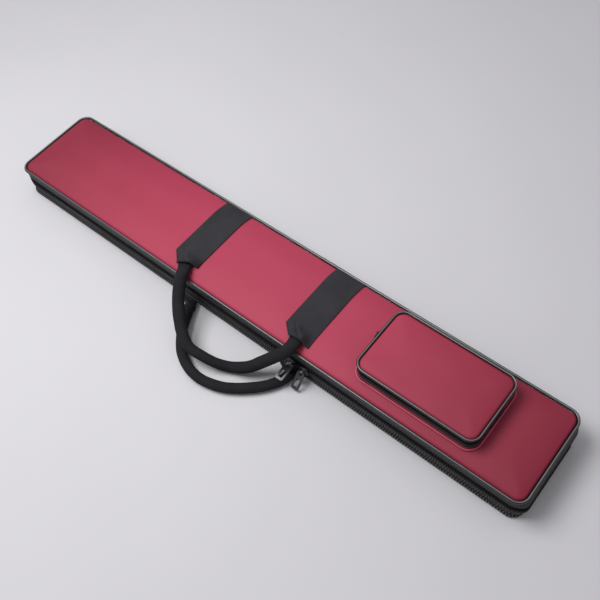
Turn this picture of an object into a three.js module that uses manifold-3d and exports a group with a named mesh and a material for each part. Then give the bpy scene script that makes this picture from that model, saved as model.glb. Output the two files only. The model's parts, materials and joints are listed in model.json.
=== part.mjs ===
// Soft cue case: a long zipped clamshell with two webbing handles, a foam-lined
// inside for cue pieces and a small zipped pocket on the lid.
// Millimetres, +Z up. The origin is the middle of the base's underside, +X runs
// along the case, -Y is the side with the zip and the handles, +Y the hinge side.

import * as THREE from 'three';
import { mergeVertices } from 'three/addons/utils/BufferGeometryUtils.js';
import Module from 'manifold-3d';

const wasm = await Module();
wasm.setup();

// ---------------------------------------------------------------- driving dimensions

const LENGTH = 830;
const WIDTH = 132;
const HEIGHT = 50; // to the top of the lid's piping
const CORNER_RADIUS = 16;
const ZIP_HEIGHT = 21; // the height at which lid and base part
const ZIP_END_Y = 40; // the zip stops here, short of the hinge side's corners

const GAP = 0.3; // fitting gap between neighbouring pieces
const PART_LINE = 0.4; // half of the gap between lid and base
const CORNER_STEPS = 6;
const BEAD_SIDES = 8;

const PIPING_RADIUS = 2;
const WALL_OUTER = 2.6; // insets from the piping's outermost line
const WALL_INNER = 6.6;
const CHAIN_HEIGHT = 5; // one half of the zip chain
const CHAIN_OUTER = 1.4; // the inset of the chain's face
const CHAIN_MARGIN = 0.8; // bare tape between the chain and the wall's hem
const TAPE_THICKNESS = 2;
const TAB_LENGTH = 7; // the sewn tab at each end of the zip
const BASE_PIPING_LIFT = 1.9; // the piping rides clear of the table
const PANEL_THICKNESS = 3.6;
const PANEL_INSET = 2 * PIPING_RADIUS + GAP;
const CROWN = 6; // how far the padded lid swells above its edge
const CROWN_RUN = 30; // how far in from the edge the swelling reaches its height

const BASE_PANEL_THICKNESS = 4.3;
const LINER_THICKNESS = 4.4;
const DIVIDER_THICKNESS = 8;
const DIVIDER_TOP = 39;
const END_PAD_LENGTH = 12;
const CHANNELS = 3;

const STRAP_WIDTH = 44;
const STRAP_THICKNESS = 1.5;
const STRAP_CENTRES = [-92.5, 95.5];
const LID_STRAP_END_Y = -45;
const BASE_STRAP_ENDS = { near: -65, far: 60 };

const HANDLE_RADIUS = 7;
const SLEEVE_THICKNESS = 1.4;
const CORE_CLEARANCE = 0.7;
const HANDLE_STEPS = 36;
const LID_HANDLE_PIVOT = { y: -51, z: 62 };
const BASE_HANDLE_PIVOT = { y: -75.2, z: HANDLE_RADIUS + GAP };

const SLIDER = { length: 15, height: 11, thickness: 2.2, corner: 3.5 };
const LUG = { radius: 2.6, bore: 1.5, width: 3, reach: 2.4 };
const PULL = { length: 24, width: 11, thickness: 1.8, bar: 1.6, throat: 4.2 };
const SLIDER_PLACES = { left: 100, right: 118.5 };
const PULL_TILTS = { left: 3, right: 43 }; // degrees below level, at rest

const POCKET = { x: 261, y: 0, halfLength: 80.5, halfWidth: 47.5, radius: 14 };
const POCKET_TOP = 77; // the pocket's top edge
const POCKET_LEAN = 1; // how far its walls lean in, from foot to top
const POCKET_ZIP_HEIGHT = 68.5;
const POCKET_TAPE_HEIGHT = 6.5;
const POCKET_FOLD_Y = 14; // the flap folds here, where the pocket's zip ends
const POCKET_WALL = 2;
const POCKET_TAPE = 1.4;
const POCKET_CHAIN = { height: 1.6, depth: 1.1 };
const POCKET_PIPING_RADIUS = 1.7;
const POCKET_CROWN = 3.5;
const POCKET_CROWN_RUN = 25;
const WELT_RADIUS = 1.2;
const POCKET_SLIDER = { length: 9, height: 8, thickness: 1.4, corner: 2 };
const POCKET_LUG = { radius: 2, bore: 1.1, width: 2, reach: 1.6 };
const POCKET_PULL = { length: 11, width: 6, thickness: 1.2, bar: 1.1, throat: 3 };
const POCKET_SLIDER_Y = 8;
const POCKET_PULL_TILT = 68; // degrees below level

// ---------------------------------------------------------------- worked-out levels

const PIPING_TOP_Z = HEIGHT - PIPING_RADIUS;
const BASE_PIPING_Z = BASE_PIPING_LIFT + PIPING_RADIUS;
const LID_WALL_TOP = HEIGHT - 2 * PIPING_RADIUS - GAP;
const LID_PANEL_BOTTOM = LID_WALL_TOP + GAP;
const LID_EDGE_TOP = LID_PANEL_BOTTOM + PANEL_THICKNESS;
const LID_LINER_TOP = LID_PANEL_BOTTOM - GAP;
const BASE_WALL_BOTTOM = BASE_PIPING_Z + PIPING_RADIUS + GAP;
const BASE_LINER_BOTTOM = BASE_PANEL_THICKNESS + GAP;
const BASE_LINER_TOP = BASE_LINER_BOTTOM + LINER_THICKNESS;
const LID_PART_Z = ZIP_HEIGHT + PART_LINE;
const BASE_PART_Z = ZIP_HEIGHT - PART_LINE;
const INSIDE_HALF_LENGTH = LENGTH / 2 - WALL_INNER;
const INSIDE_HALF_WIDTH = WIDTH / 2 - WALL_INNER;
const SLIDER_FACE_Y = -(WIDTH / 2 - CHAIN_OUTER + GAP);
const POCKET_PANEL_BOTTOM = POCKET_TOP - 2 * POCKET_PIPING_RADIUS + 0.8;
const POCKET_WALL_TOP = POCKET_PANEL_BOTTOM - GAP;
const POCKET_TAPE_BOTTOM = POCKET_ZIP_HEIGHT - POCKET_TAPE_HEIGHT;

const COLOURS = {
  red: 0x9d2c44,
  piping: 0x151517,
  charcoal: 0x2b2d31,
  webbing: 0x232428,
  plush: 0x2f3034,
  foam: 0x47484c,
  gunmetal: 0x77797f,
  black: 0x101012,
};

// ---------------------------------------------------------------- outlines

// A rim is a rounded rectangle seen from above. Its stations go counter-clockwise,
// each with the outward direction, and a profile point [inset, z] hangs off them.
const CASE_RIM = { x: 0, y: 0, halfLength: LENGTH / 2, halfWidth: WIDTH / 2, radius: CORNER_RADIUS };
const POCKET_RIM = POCKET;

function cornerStations(rim, signX, signY) {
  const start = { '-1,-1': 2, '1,-1': 3, '1,1': 0, '-1,1': 1 }[`${signX},${signY}`] * (Math.PI / 2);
  const centreX = rim.x + signX * (rim.halfLength - rim.radius);
  const centreY = rim.y + signY * (rim.halfWidth - rim.radius);
  return Array.from({ length: CORNER_STEPS + 1 }, (_, step) => {
    const angle = start + (Math.PI / 2) * (step / CORNER_STEPS);
    const nx = Math.cos(angle);
    const ny = Math.sin(angle);
    return { x: centreX + rim.radius * nx, y: centreY + rim.radius * ny, nx, ny };
  });
}

const wholeRim = (rim) => [
  ...cornerStations(rim, -1, -1),
  ...cornerStations(rim, 1, -1),
  ...cornerStations(rim, 1, 1),
  ...cornerStations(rim, -1, 1),
];

// From the left end, round the near side, to the right end: where the zip runs.
const nearRun = (rim, endY) => [
  { x: rim.x - rim.halfLength, y: endY, nx: -1, ny: 0 },
  ...cornerStations(rim, -1, -1),
  ...cornerStations(rim, 1, -1),
  { x: rim.x + rim.halfLength, y: endY, nx: 1, ny: 0 },
];

// From the right end, round the far side, to the left end: where nothing opens.
const farRun = (rim, endY) => [
  { x: rim.x + rim.halfLength, y: endY, nx: 1, ny: 0 },
  ...cornerStations(rim, 1, 1),
  ...cornerStations(rim, -1, 1),
  { x: rim.x - rim.halfLength, y: endY, nx: -1, ny: 0 },
];

const between = (a, b) => [Math.min(a, b), Math.max(a, b)];

// ---------------------------------------------------------------- profiles, as [inset, z]

const band = (outer, inner, low, high) => [[outer, low], [outer, high], [inner, high], [inner, low]];

function bead(inset, z, radius) {
  return Array.from({ length: BEAD_SIDES }, (_, side) => {
    const angle = (2 * Math.PI * side) / BEAD_SIDES;
    return [inset - radius * Math.cos(angle), z + radius * Math.sin(angle)];
  });
}

// The crowned lid's height at a distance y from its middle line.
function lidHeight(y) {
  const fromEdge = WIDTH / 2 - PANEL_INSET - Math.abs(y);
  return LID_EDGE_TOP + swelling(fromEdge, CROWN, CROWN_RUN);
}

function swelling(fromEdge, height, run) {
  const part = THREE.MathUtils.clamp(fromEdge / run, 0, 1);
  return height * (1 - (1 - part) ** 2);
}

const pocketInset = (z) => (POCKET_LEAN * (z - LID_EDGE_TOP)) / (POCKET_TOP - LID_EDGE_TOP);

// A band on the pocket's leaning wall.
function leaningBand(outer, inner, low, high) {
  return [
    [pocketInset(low) + outer, low],
    [pocketInset(high) + outer, high],
    [pocketInset(high) + inner, high],
    [pocketInset(low) + inner, low],
  ];
}

// ---------------------------------------------------------------- solids

function solid(points, triangles) {
  const geometry = new THREE.BufferGeometry();
  geometry.setAttribute('position', new THREE.Float32BufferAttribute(points.flat(), 3));
  geometry.setIndex(triangles.flat());
  geometry.computeVertexNormals();
  return geometry;
}

// Carries a convex profile along stations. `profile` is a list or, where the profile
// changes along the way, a function of the station.
function sweep(stations, profile, closed = false) {
  const profileAt = typeof profile === 'function' ? profile : () => profile;
  const points = stations.flatMap((station) => {
    const { x, y, nx, ny } = station;
    return profileAt(station).map(([inset, z]) => [x - nx * inset, y - ny * inset, z]);
  });
  const sides = points.length / stations.length;
  const spans = closed ? stations.length : stations.length - 1;
  const triangles = [];
  for (let span = 0; span < spans; span += 1) {
    const here = span * sides;
    const next = ((span + 1) % stations.length) * sides;
    for (let side = 0; side < sides; side += 1) {
      const other = (side + 1) % sides;
      triangles.push([here + side, next + side, next + other], [here + side, next + other, here + other]);
    }
  }
  if (!closed) {
    const last = (stations.length - 1) * sides;
    for (let side = 1; side < sides - 1; side += 1) {
      triangles.push([0, side, side + 1], [last, last + side + 1, last + side]);
    }
  }
  return solid(points, triangles);
}

// A rounded rectangle pulled in by `inset`, whose corners never close up.
function insetRim(rim, inset) {
  return {
    ...rim,
    halfLength: rim.halfLength - inset,
    halfWidth: rim.halfWidth - inset,
    radius: Math.max(rim.radius - inset, 2),
  };
}

// Stacks rounded rectangles, each an [inset, z] of the rim, from the bottom to the top.
function stack(rim, layers) {
  const loops = layers.map(([inset, z]) => wholeRim(insetRim(rim, inset)).map(({ x, y }) => [x, y, z]));
  const count = loops[0].length;
  const triangles = [];
  for (let layer = 0; layer < loops.length - 1; layer += 1) {
    for (let index = 0; index < count; index += 1) {
      const other = (index + 1) % count;
      const [low, high] = [layer * count, (layer + 1) * count];
      triangles.push([low + index, low + other, high + other], [low + index, high + other, high + index]);
    }
  }
  const top = (loops.length - 1) * count;
  for (let index = 1; index < count - 1; index += 1) {
    triangles.push([0, index + 1, index], [top, top + index, top + index + 1]);
  }
  return solid(loops.flat(), triangles);
}

// The layers of a padded panel: a flat underside and a top that swells inwards.
function crownedLayers(inset, bottom, edgeTop, height, run) {
  const parts = [0, 0.1, 0.23, 0.4, 0.6, 0.8, 1];
  return [
    [inset, bottom],
    ...parts.map((part) => [inset + part * run, edgeTop + swelling(part * run, height, run)]),
  ];
}

function box(x0, x1, y0, y1, z0, z1) {
  const geometry = new THREE.BoxGeometry(x1 - x0, y1 - y0, z1 - z0);
  return geometry.translate((x0 + x1) / 2, (y0 + y1) / 2, (z0 + z1) / 2);
}

// Turns a shape drawn in (y, z) and extruded away from it to run along +X.
function alongX(geometry) {
  const basis = new THREE.Matrix4().makeBasis(
    new THREE.Vector3(0, 1, 0),
    new THREE.Vector3(0, 0, 1),
    new THREE.Vector3(1, 0, 0),
  );
  return geometry.applyMatrix4(basis);
}

function roundedShape(length, width, radius) {
  const [x, y] = [length / 2 - radius, width / 2 - radius];
  const shape = new THREE.Shape();
  shape.absarc(x, y, radius, 0, Math.PI / 2);
  shape.absarc(-x, y, radius, Math.PI / 2, Math.PI);
  shape.absarc(-x, -y, radius, Math.PI, 1.5 * Math.PI);
  shape.absarc(x, -y, radius, 1.5 * Math.PI, 2 * Math.PI);
  return shape;
}

function roundHole(radius) {
  const hole = new THREE.Path();
  hole.absarc(0, 0, radius, 0, 2 * Math.PI);
  return hole;
}

function toManifold(geometry) {
  const bare = geometry.clone();
  bare.deleteAttribute('normal');
  bare.deleteAttribute('uv');
  const merged = mergeVertices(bare);
  return new wasm.Manifold(
    new wasm.Mesh({
      numProp: 3,
      vertProperties: new Float32Array(merged.attributes.position.array),
      triVerts: new Uint32Array(merged.index.array),
    }),
  );
}

function fromManifold(manifold) {
  const mesh = manifold.getMesh();
  const geometry = new THREE.BufferGeometry();
  geometry.setAttribute('position', new THREE.BufferAttribute(new Float32Array(mesh.vertProperties), 3));
  geometry.setIndex(new THREE.BufferAttribute(new Uint32Array(mesh.triVerts), 1));
  geometry.computeVertexNormals();
  return geometry;
}

const cut = (geometry, tool) => fromManifold(toManifold(geometry).subtract(toManifold(tool)));
const join = (geometry, other) => fromManifold(toManifold(geometry).add(toManifold(other)));

// ---------------------------------------------------------------- the object

const cueCase = new THREE.Group();

function place(name, geometry, colour, metalness = 0, roughness = 0.8) {
  const material = new THREE.MeshStandardMaterial({ color: COLOURS[colour], metalness, roughness });
  const mesh = new THREE.Mesh(geometry, material);
  mesh.name = name;
  cueCase.add(mesh);
  return mesh;
}

// Walls, zip tape, zip chain and piping of one half of the shell.
function shellHalf(half, partZ, wallZ, pipingZ, outwards) {
  const chainEnd = partZ + outwards * CHAIN_HEIGHT;
  const wallStart = chainEnd + outwards * CHAIN_MARGIN;
  const near = nearRun(CASE_RIM, ZIP_END_Y);
  const far = farRun(CASE_RIM, ZIP_END_Y + GAP);
  const nearWall = band(WALL_OUTER, WALL_INNER, ...between(wallStart, wallZ));
  place(`${half}_gusset`, sweep(near, nearWall), 'charcoal');
  const farWall = band(WALL_OUTER, WALL_INNER, ...between(partZ, wallZ));
  place(`${half}_back_gusset`, sweep(far, farWall), 'charcoal');
  const tape = band(WALL_INNER - TAPE_THICKNESS, WALL_INNER, ...between(partZ, wallStart - outwards * GAP));
  place(`${half}_zip_tape`, sweep(near, tape), 'charcoal');
  const chain = band(CHAIN_OUTER, WALL_INNER - TAPE_THICKNESS - GAP, ...between(partZ, chainEnd));
  const chainRun = nearRun(CASE_RIM, ZIP_END_Y - TAB_LENGTH - 2 * GAP);
  place(`${half}_zip_chain`, sweep(chainRun, chain), 'black', 0, 0.45);
  const piping = bead(PIPING_RADIUS, pipingZ, PIPING_RADIUS);
  place(`${half}_piping`, sweep(wholeRim(CASE_RIM), piping, true), 'piping', 0, 0.3);
}

function basePanel() {
  const layers = [
    [PANEL_INSET, 0],
    [PANEL_INSET, BASE_PANEL_THICKNESS],
  ];
  return STRAP_CENTRES.reduce((panel, centre) => {
    const reach = STRAP_WIDTH / 2 + GAP;
    const end = BASE_STRAP_ENDS.far + GAP;
    const notch = box(centre - reach, centre + reach, -WIDTH, end, -1, STRAP_THICKNESS + GAP);
    return cut(panel, notch);
  }, stack(CASE_RIM, layers));
}

function dividers() {
  const clear = (2 * INSIDE_HALF_WIDTH - (CHANNELS - 1) * DIVIDER_THICKNESS) / CHANNELS;
  const centre = (clear + DIVIDER_THICKNESS) / 2;
  const end = INSIDE_HALF_LENGTH - END_PAD_LENGTH - 2 * GAP;
  for (const [name, side] of [['near', -1], ['far', 1]]) {
    const [y0, y1] = [side * centre - DIVIDER_THICKNESS / 2, side * centre + DIVIDER_THICKNESS / 2];
    place(`divider_${name}`, box(-end, end, y0, y1, BASE_LINER_TOP + GAP, DIVIDER_TOP), 'plush', 0, 1);
  }
}

function endPads() {
  const halfWidth = WIDTH / 2 - CORNER_RADIUS; // as wide as the straight stretch of the end wall
  for (const [name, side] of [['left', -1], ['right', 1]]) {
    const outer = side * (INSIDE_HALF_LENGTH - GAP);
    const inner = outer - side * END_PAD_LENGTH;
    const pad = box(...between(outer, inner), -halfWidth, halfWidth, BASE_LINER_TOP + GAP, DIVIDER_TOP);
    place(`end_pad_${name}`, pad, 'plush', 0, 1);
  }
}

function liners() {
  const inset = WALL_INNER + GAP;
  place('base_liner', stack(CASE_RIM, [[inset, BASE_LINER_BOTTOM], [inset, BASE_LINER_TOP]]), 'plush', 0, 1);
  const lidLiner = stack(CASE_RIM, [[inset, LID_LINER_TOP - LINER_THICKNESS], [inset, LID_LINER_TOP]]);
  place('lid_liner', lidLiner, 'plush', 0, 1);
}

// Binding sewn along the inside of the fabric hinge.
function hingeTape() {
  const y = INSIDE_HALF_WIDTH - GAP;
  const thickness = 1;
  const end = LENGTH / 2 - CORNER_RADIUS;
  const geometry = box(-end, end, y - thickness, y, BASE_LINER_TOP + GAP, BASE_PART_Z);
  place('hinge_tape', geometry, 'charcoal');
}

function zipEndTabs() {
  for (const [name, side] of [['left', -1], ['right', 1]]) {
    const outer = side * (LENGTH / 2 - CHAIN_OUTER);
    const inner = side * (LENGTH / 2 - WALL_INNER + TAPE_THICKNESS + GAP);
    const [y0, y1] = [ZIP_END_Y - TAB_LENGTH, ZIP_END_Y];
    const tab = box(...between(outer, inner), y0, y1, BASE_PART_Z - CHAIN_HEIGHT, BASE_PART_Z);
    place(`zip_end_tab_${name}`, tab, 'black');
  }
}

// Webbing across the lid, following its crown from the far piping to its folded end.
function lidStrap(name, centre) {
  const farEnd = WIDTH / 2 - PANEL_INSET - GAP;
  const heights = [farEnd, 56, 51, 46, 40, 30, -30, -38, LID_STRAP_END_Y];
  const shape = new THREE.Shape();
  const under = heights.map((y) => new THREE.Vector2(y, lidHeight(y) + GAP));
  const over = heights.map((y) => new THREE.Vector2(y, lidHeight(y) + GAP + STRAP_THICKNESS)).reverse();
  shape.setFromPoints([...under, ...over]);
  const geometry = alongX(new THREE.ExtrudeGeometry(shape, { depth: STRAP_WIDTH, bevelEnabled: false }));
  place(name, geometry.translate(centre - STRAP_WIDTH / 2, 0, 0), 'webbing');
}

// Webbing under the base, let in flush so that the case rests flat.
function baseStrap(name, centre) {
  const half = STRAP_WIDTH / 2;
  const { near, far } = BASE_STRAP_ENDS;
  place(name, box(centre - half, centre + half, near, far, 0, STRAP_THICKNESS), 'webbing');
}

// A handle is a soft tube sewn round a core. Its course is given by points
// [x, reach, drop], measured outwards and down from the line it swings about.
function handle(name, pivot, course) {
  const points = course.map(([x, reach, drop]) => new THREE.Vector3(x, pivot.y - reach, pivot.z - drop));
  const extrudePath = new THREE.CatmullRomCurve3(points, false, 'centripetal');
  const options = { steps: HANDLE_STEPS, curveSegments: 5, extrudePath };
  const sleeve = new THREE.Shape();
  sleeve.absarc(0, 0, HANDLE_RADIUS, 0, 2 * Math.PI);
  sleeve.holes.push(roundHole(HANDLE_RADIUS - SLEEVE_THICKNESS));
  place(`${name}_sleeve`, new THREE.ExtrudeGeometry(sleeve, options), 'webbing');
  const core = new THREE.Shape();
  core.absarc(0, 0, HANDLE_RADIUS - SLEEVE_THICKNESS - CORE_CLEARANCE, 0, 2 * Math.PI);
  place(`${name}_core`, new THREE.ExtrudeGeometry(core, options), 'foam');
}

// The lid's handle leaves level, rolls over the edge and droops until it meets the table.
const LID_HANDLE_COURSE = [
  [-86, 0, 0],
  [-80.5, 9.5, 0.5],
  [-76, 19.5, 3.5],
  [-69, 32.5, 10.5],
  [-60.5, 45, 18.5],
  [-48.5, 57.5, 26],
  [-35, 68.5, 32],
  [-17.5, 76.5, 37],
  [0.5, 75, 41.5],
  [20, 70, 48],
  [37.5, 61, 53.5],
  [59.5, 50, 44.5],
  [75, 36.5, 32.5],
  [85, 29, 23],
  [92.5, 25, 13.5],
  [100, 20, 4.5],
  [102, 10.5, 0.5],
  [99.5, 0, 0],
];

// The base's handle lies flat on the table.
const BASE_HANDLE_COURSE = [
  [-69.5, 0, 0],
  [-64.5, 10, 0],
  [-49.5, 37, 0],
  [-24.5, 61.5, 0],
  [7.5, 72, 0],
  [41.5, 66, 0],
  [68.5, 49.5, 0],
  [91.5, 26.5, 0],
  [101, 9, 0],
  [103, 0, 0],
];

// A flat plate with a lug that holds the pull. It is drawn lying in X and Y, facing -Y
// once turned, and its middle is the middle of the plate's inner face.
function sliderGeometry(size, lug) {
  const plate = new THREE.ExtrudeGeometry(roundedShape(size.length, size.height, size.corner), {
    depth: size.thickness,
    bevelEnabled: false,
    curveSegments: 3,
  });
  plate.rotateX(Math.PI / 2);
  const reach = size.thickness + lug.reach;
  const outline = new THREE.Shape();
  outline.absarc(-reach, 0, lug.radius, Math.PI / 2, 1.5 * Math.PI);
  outline.lineTo(-size.thickness / 2, -lug.radius);
  outline.lineTo(-size.thickness / 2, lug.radius);
  const hole = new THREE.Path();
  hole.absarc(-reach, 0, lug.bore, 0, 2 * Math.PI);
  outline.holes.push(hole);
  const options = { depth: lug.width, bevelEnabled: false, curveSegments: 5 };
  const ear = alongX(new THREE.ExtrudeGeometry(outline, options));
  return join(plate, ear.translate(-lug.width / 2, 0, 0));
}

// A pull: a plate whose end bar sits in the slider's lug, with a window near its tip.
// It is drawn from its hinge line outwards along -Y, lying level.
function pullGeometry(size) {
  const half = size.width / 2;
  const tip = size.length;
  const corner = half * 0.45;
  const shape = new THREE.Shape();
  shape.moveTo(-half * 0.7, -size.bar / 2);
  shape.lineTo(half * 0.7, -size.bar / 2);
  shape.lineTo(half, size.bar * 2);
  shape.lineTo(half, tip - corner);
  shape.absarc(half - corner, tip - corner, corner, 0, Math.PI / 2);
  shape.absarc(corner - half, tip - corner, corner, Math.PI / 2, Math.PI);
  shape.lineTo(-half, size.bar * 2);
  const throat = new THREE.Path();
  const throatHalf = size.throat / 2;
  throat.moveTo(-throatHalf, size.bar / 2);
  throat.lineTo(-throatHalf, size.bar / 2 + size.throat * 0.8);
  throat.lineTo(throatHalf, size.bar / 2 + size.throat * 0.8);
  throat.lineTo(throatHalf, size.bar / 2);
  const window = new THREE.Path();
  const windowHalf = half * 0.55;
  window.moveTo(-windowHalf, tip * 0.42);
  window.lineTo(-windowHalf, tip * 0.86);
  window.lineTo(windowHalf, tip * 0.86);
  window.lineTo(windowHalf, tip * 0.42);
  shape.holes.push(throat, window);
  const geometry = new THREE.ExtrudeGeometry(shape, {
    depth: size.thickness,
    bevelEnabled: false,
    curveSegments: 3,
  });
  geometry.translate(0, 0, -size.thickness / 2);
  return geometry.rotateZ(Math.PI);
}

function mainSlider(side) {
  const x = SLIDER_PLACES[side];
  const slider = place(`zip_slider_${side}`, sliderGeometry(SLIDER, LUG), 'gunmetal', 1, 0.35);
  slider.position.set(x, SLIDER_FACE_Y, ZIP_HEIGHT);
  const pull = place(`zip_pull_${side}`, pullGeometry(PULL), 'gunmetal', 1, 0.3);
  pull.rotation.x = THREE.MathUtils.degToRad(PULL_TILTS[side]);
  pull.position.set(x, SLIDER_FACE_Y - SLIDER.thickness - LUG.reach, ZIP_HEIGHT);
}

function lidPanel() {
  return stack(CASE_RIM, crownedLayers(PANEL_INSET, LID_PANEL_BOTTOM, LID_EDGE_TOP, CROWN, CROWN_RUN));
}

// The pocket's fixed walls, from the lid's surface up to the zip.
function pocketWalls() {
  const wallTop = POCKET_TAPE_BOTTOM - GAP;
  const wall = (station) => {
    const outerFoot = lidHeight(station.y) + GAP;
    const innerFoot = lidHeight(station.y - station.ny * POCKET_WALL) + GAP;
    return [
      [0, outerFoot],
      [pocketInset(wallTop), wallTop],
      [pocketInset(wallTop) + POCKET_WALL, wallTop],
      [POCKET_WALL, innerFoot],
    ];
  };
  place('pocket_gusset', sweep(wholeRim(POCKET_RIM), wall, true), 'red');
  const back = leaningBand(0, POCKET_WALL, POCKET_TAPE_BOTTOM, POCKET_WALL_TOP);
  place('pocket_back_gusset', sweep(farRun(POCKET_RIM, POCKET_FOLD_Y + GAP), back), 'red');
  const welt = (station) => bead(-WELT_RADIUS - GAP, lidHeight(station.y) + WELT_RADIUS + GAP, WELT_RADIUS);
  place('pocket_welt', sweep(wholeRim(POCKET_RIM), welt, true), 'red');
}

// One half of the pocket's zip: its tape, and its chain along the tape's free edge.
function pocketZip(name, low, high, outwards) {
  const run = nearRun(POCKET_RIM, POCKET_FOLD_Y - GAP);
  place(`${name}_tape`, sweep(run, leaningBand(GAP, POCKET_TAPE, low, high)), 'charcoal');
  const freeEdge = outwards > 0 ? low : high;
  const levels = between(freeEdge, freeEdge + outwards * POCKET_CHAIN.height);
  place(`${name}_chain`, sweep(run, leaningBand(-POCKET_CHAIN.depth, 0, ...levels)), 'black', 0, 0.45);
}

// The padded top, parted at the fold into a fixed strip and the flap, with its piping.
function pocketTop() {
  const pipingInset = POCKET_LEAN - 0.2;
  const panelInset = pipingInset + POCKET_PIPING_RADIUS + GAP;
  const edgeTop = POCKET_TOP + 0.4;
  const layers = crownedLayers(panelInset, POCKET_PANEL_BOTTOM, edgeTop, POCKET_CROWN, POCKET_CROWN_RUN);
  const top = stack(POCKET_RIM, layers);
  const half = (y0, y1) => box(0, LENGTH, y0, y1, 0, 2 * HEIGHT);
  place('pocket_flap_panel', cut(top, half(POCKET_FOLD_Y - GAP, WIDTH)), 'red');
  place('pocket_top_strip', cut(top, half(-WIDTH, POCKET_FOLD_Y + GAP)), 'red');
  const piping = bead(pipingInset, POCKET_TOP - 0.8, POCKET_PIPING_RADIUS);
  place('pocket_flap_piping', sweep(nearRun(POCKET_RIM, POCKET_FOLD_Y - GAP), piping), 'piping', 0, 0.3);
  place('pocket_back_piping', sweep(farRun(POCKET_RIM, POCKET_FOLD_Y + GAP), piping), 'piping', 0, 0.3);
}

function pocketSlider() {
  const chainFoot = POCKET_ZIP_HEIGHT - POCKET_SLIDER.height / 2;
  const faceX = POCKET.x - POCKET.halfLength + pocketInset(chainFoot) - POCKET_CHAIN.depth - GAP;
  const slider = place('pocket_zip_slider', sliderGeometry(POCKET_SLIDER, POCKET_LUG), 'black', 0.6, 0.4);
  slider.rotation.z = -Math.PI / 2;
  slider.position.set(faceX, POCKET_SLIDER_Y, POCKET_ZIP_HEIGHT);
  const hinge = new THREE.Group();
  hinge.rotation.z = -Math.PI / 2;
  hinge.position.set(faceX - POCKET_SLIDER.thickness - POCKET_LUG.reach, POCKET_SLIDER_Y, POCKET_ZIP_HEIGHT);
  cueCase.add(hinge);
  const pull = place('pocket_zip_pull', pullGeometry(POCKET_PULL), 'black', 0.6, 0.4);
  pull.rotation.x = THREE.MathUtils.degToRad(POCKET_PULL_TILT);
  hinge.add(pull);
}

// The base and what is inside the case.
place('base_panel', basePanel(), 'red');
shellHalf('base', BASE_PART_Z, BASE_WALL_BOTTOM, BASE_PIPING_Z, -1);
liners();
dividers();
endPads();
hingeTape();
zipEndTabs();

// The lid and its pocket.
place('lid_panel', lidPanel(), 'red');
shellHalf('lid', LID_PART_Z, LID_WALL_TOP, PIPING_TOP_Z, 1);
pocketWalls();
pocketZip('pocket_zip', POCKET_TAPE_BOTTOM, POCKET_ZIP_HEIGHT - GAP, -1);
pocketZip('pocket_flap_zip', POCKET_ZIP_HEIGHT + GAP, POCKET_WALL_TOP, 1);
pocketTop();
pocketSlider();

// Straps, handles and the main zip's sliders.
for (const [index, name] of ['left', 'right'].entries()) {
  lidStrap(`lid_strap_${name}`, STRAP_CENTRES[index]);
  baseStrap(`base_strap_${name}`, STRAP_CENTRES[index]);
  mainSlider(name);
}
handle('lid_handle', LID_HANDLE_PIVOT, LID_HANDLE_COURSE);
handle('base_handle', BASE_HANDLE_PIVOT, BASE_HANDLE_COURSE);

export default cueCase;
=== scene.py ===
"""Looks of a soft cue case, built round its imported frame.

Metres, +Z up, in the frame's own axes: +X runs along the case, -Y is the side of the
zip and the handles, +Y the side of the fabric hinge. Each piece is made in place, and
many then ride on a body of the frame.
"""

import json
import math

import bmesh
import bpy
import numpy as np
from mathutils import Matrix, Vector


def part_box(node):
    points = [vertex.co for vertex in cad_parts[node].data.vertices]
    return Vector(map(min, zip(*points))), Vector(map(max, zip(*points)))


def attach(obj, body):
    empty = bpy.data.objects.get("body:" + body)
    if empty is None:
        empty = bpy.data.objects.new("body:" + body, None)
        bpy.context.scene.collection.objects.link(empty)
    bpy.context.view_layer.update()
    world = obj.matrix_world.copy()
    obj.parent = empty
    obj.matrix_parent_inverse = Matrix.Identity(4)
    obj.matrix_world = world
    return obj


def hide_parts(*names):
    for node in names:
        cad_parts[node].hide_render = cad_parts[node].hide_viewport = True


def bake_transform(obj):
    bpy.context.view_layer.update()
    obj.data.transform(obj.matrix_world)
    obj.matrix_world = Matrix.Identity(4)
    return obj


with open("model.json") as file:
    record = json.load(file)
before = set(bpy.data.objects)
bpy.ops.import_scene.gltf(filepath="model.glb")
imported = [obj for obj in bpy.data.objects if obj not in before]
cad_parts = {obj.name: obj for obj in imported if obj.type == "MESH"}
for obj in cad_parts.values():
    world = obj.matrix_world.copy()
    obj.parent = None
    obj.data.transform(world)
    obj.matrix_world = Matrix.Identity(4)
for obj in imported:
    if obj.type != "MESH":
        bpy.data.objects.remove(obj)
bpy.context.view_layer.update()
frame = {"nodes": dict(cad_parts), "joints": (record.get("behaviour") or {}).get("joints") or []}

# ---------------------------------------------------------------- driving values

MM = 0.001
WEAVE = "weave"  # the UV map, in metres along and across the cloth

FIT = 0.3 * MM  # the gap between neighbouring pieces
PANEL_INSET = 4.3 * MM  # from the piping's outermost line to the panels
WALL_OUTER = 2.6 * MM
WALL_INNER = 6.6 * MM
TAPE_FACE = 4.5 * MM
ZIP_END_Y = 40 * MM
CROWN = 6 * MM
CROWN_RUN = 30 * MM
PIPING_RADIUS = 2 * MM
HEM_DROP = 3.4 * MM  # from the end of a zip chain to the hem of the wall above it

POCKET_CORNER = 14 * MM
POCKET_LEAN = 1 * MM  # how far the pocket's walls lean in over its whole height
POCKET_TOP = 77 * MM
POCKET_FOLD_Y = 14 * MM
POCKET_PIPING_RADIUS = 1.7 * MM
POCKET_TAPE_EXTRA = 4.5 * MM  # the cloth below the pocket's zip tape, as dark as it
POCKET_CROWN = 3.5 * MM
POCKET_CROWN_RUN = 25 * MM

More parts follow.
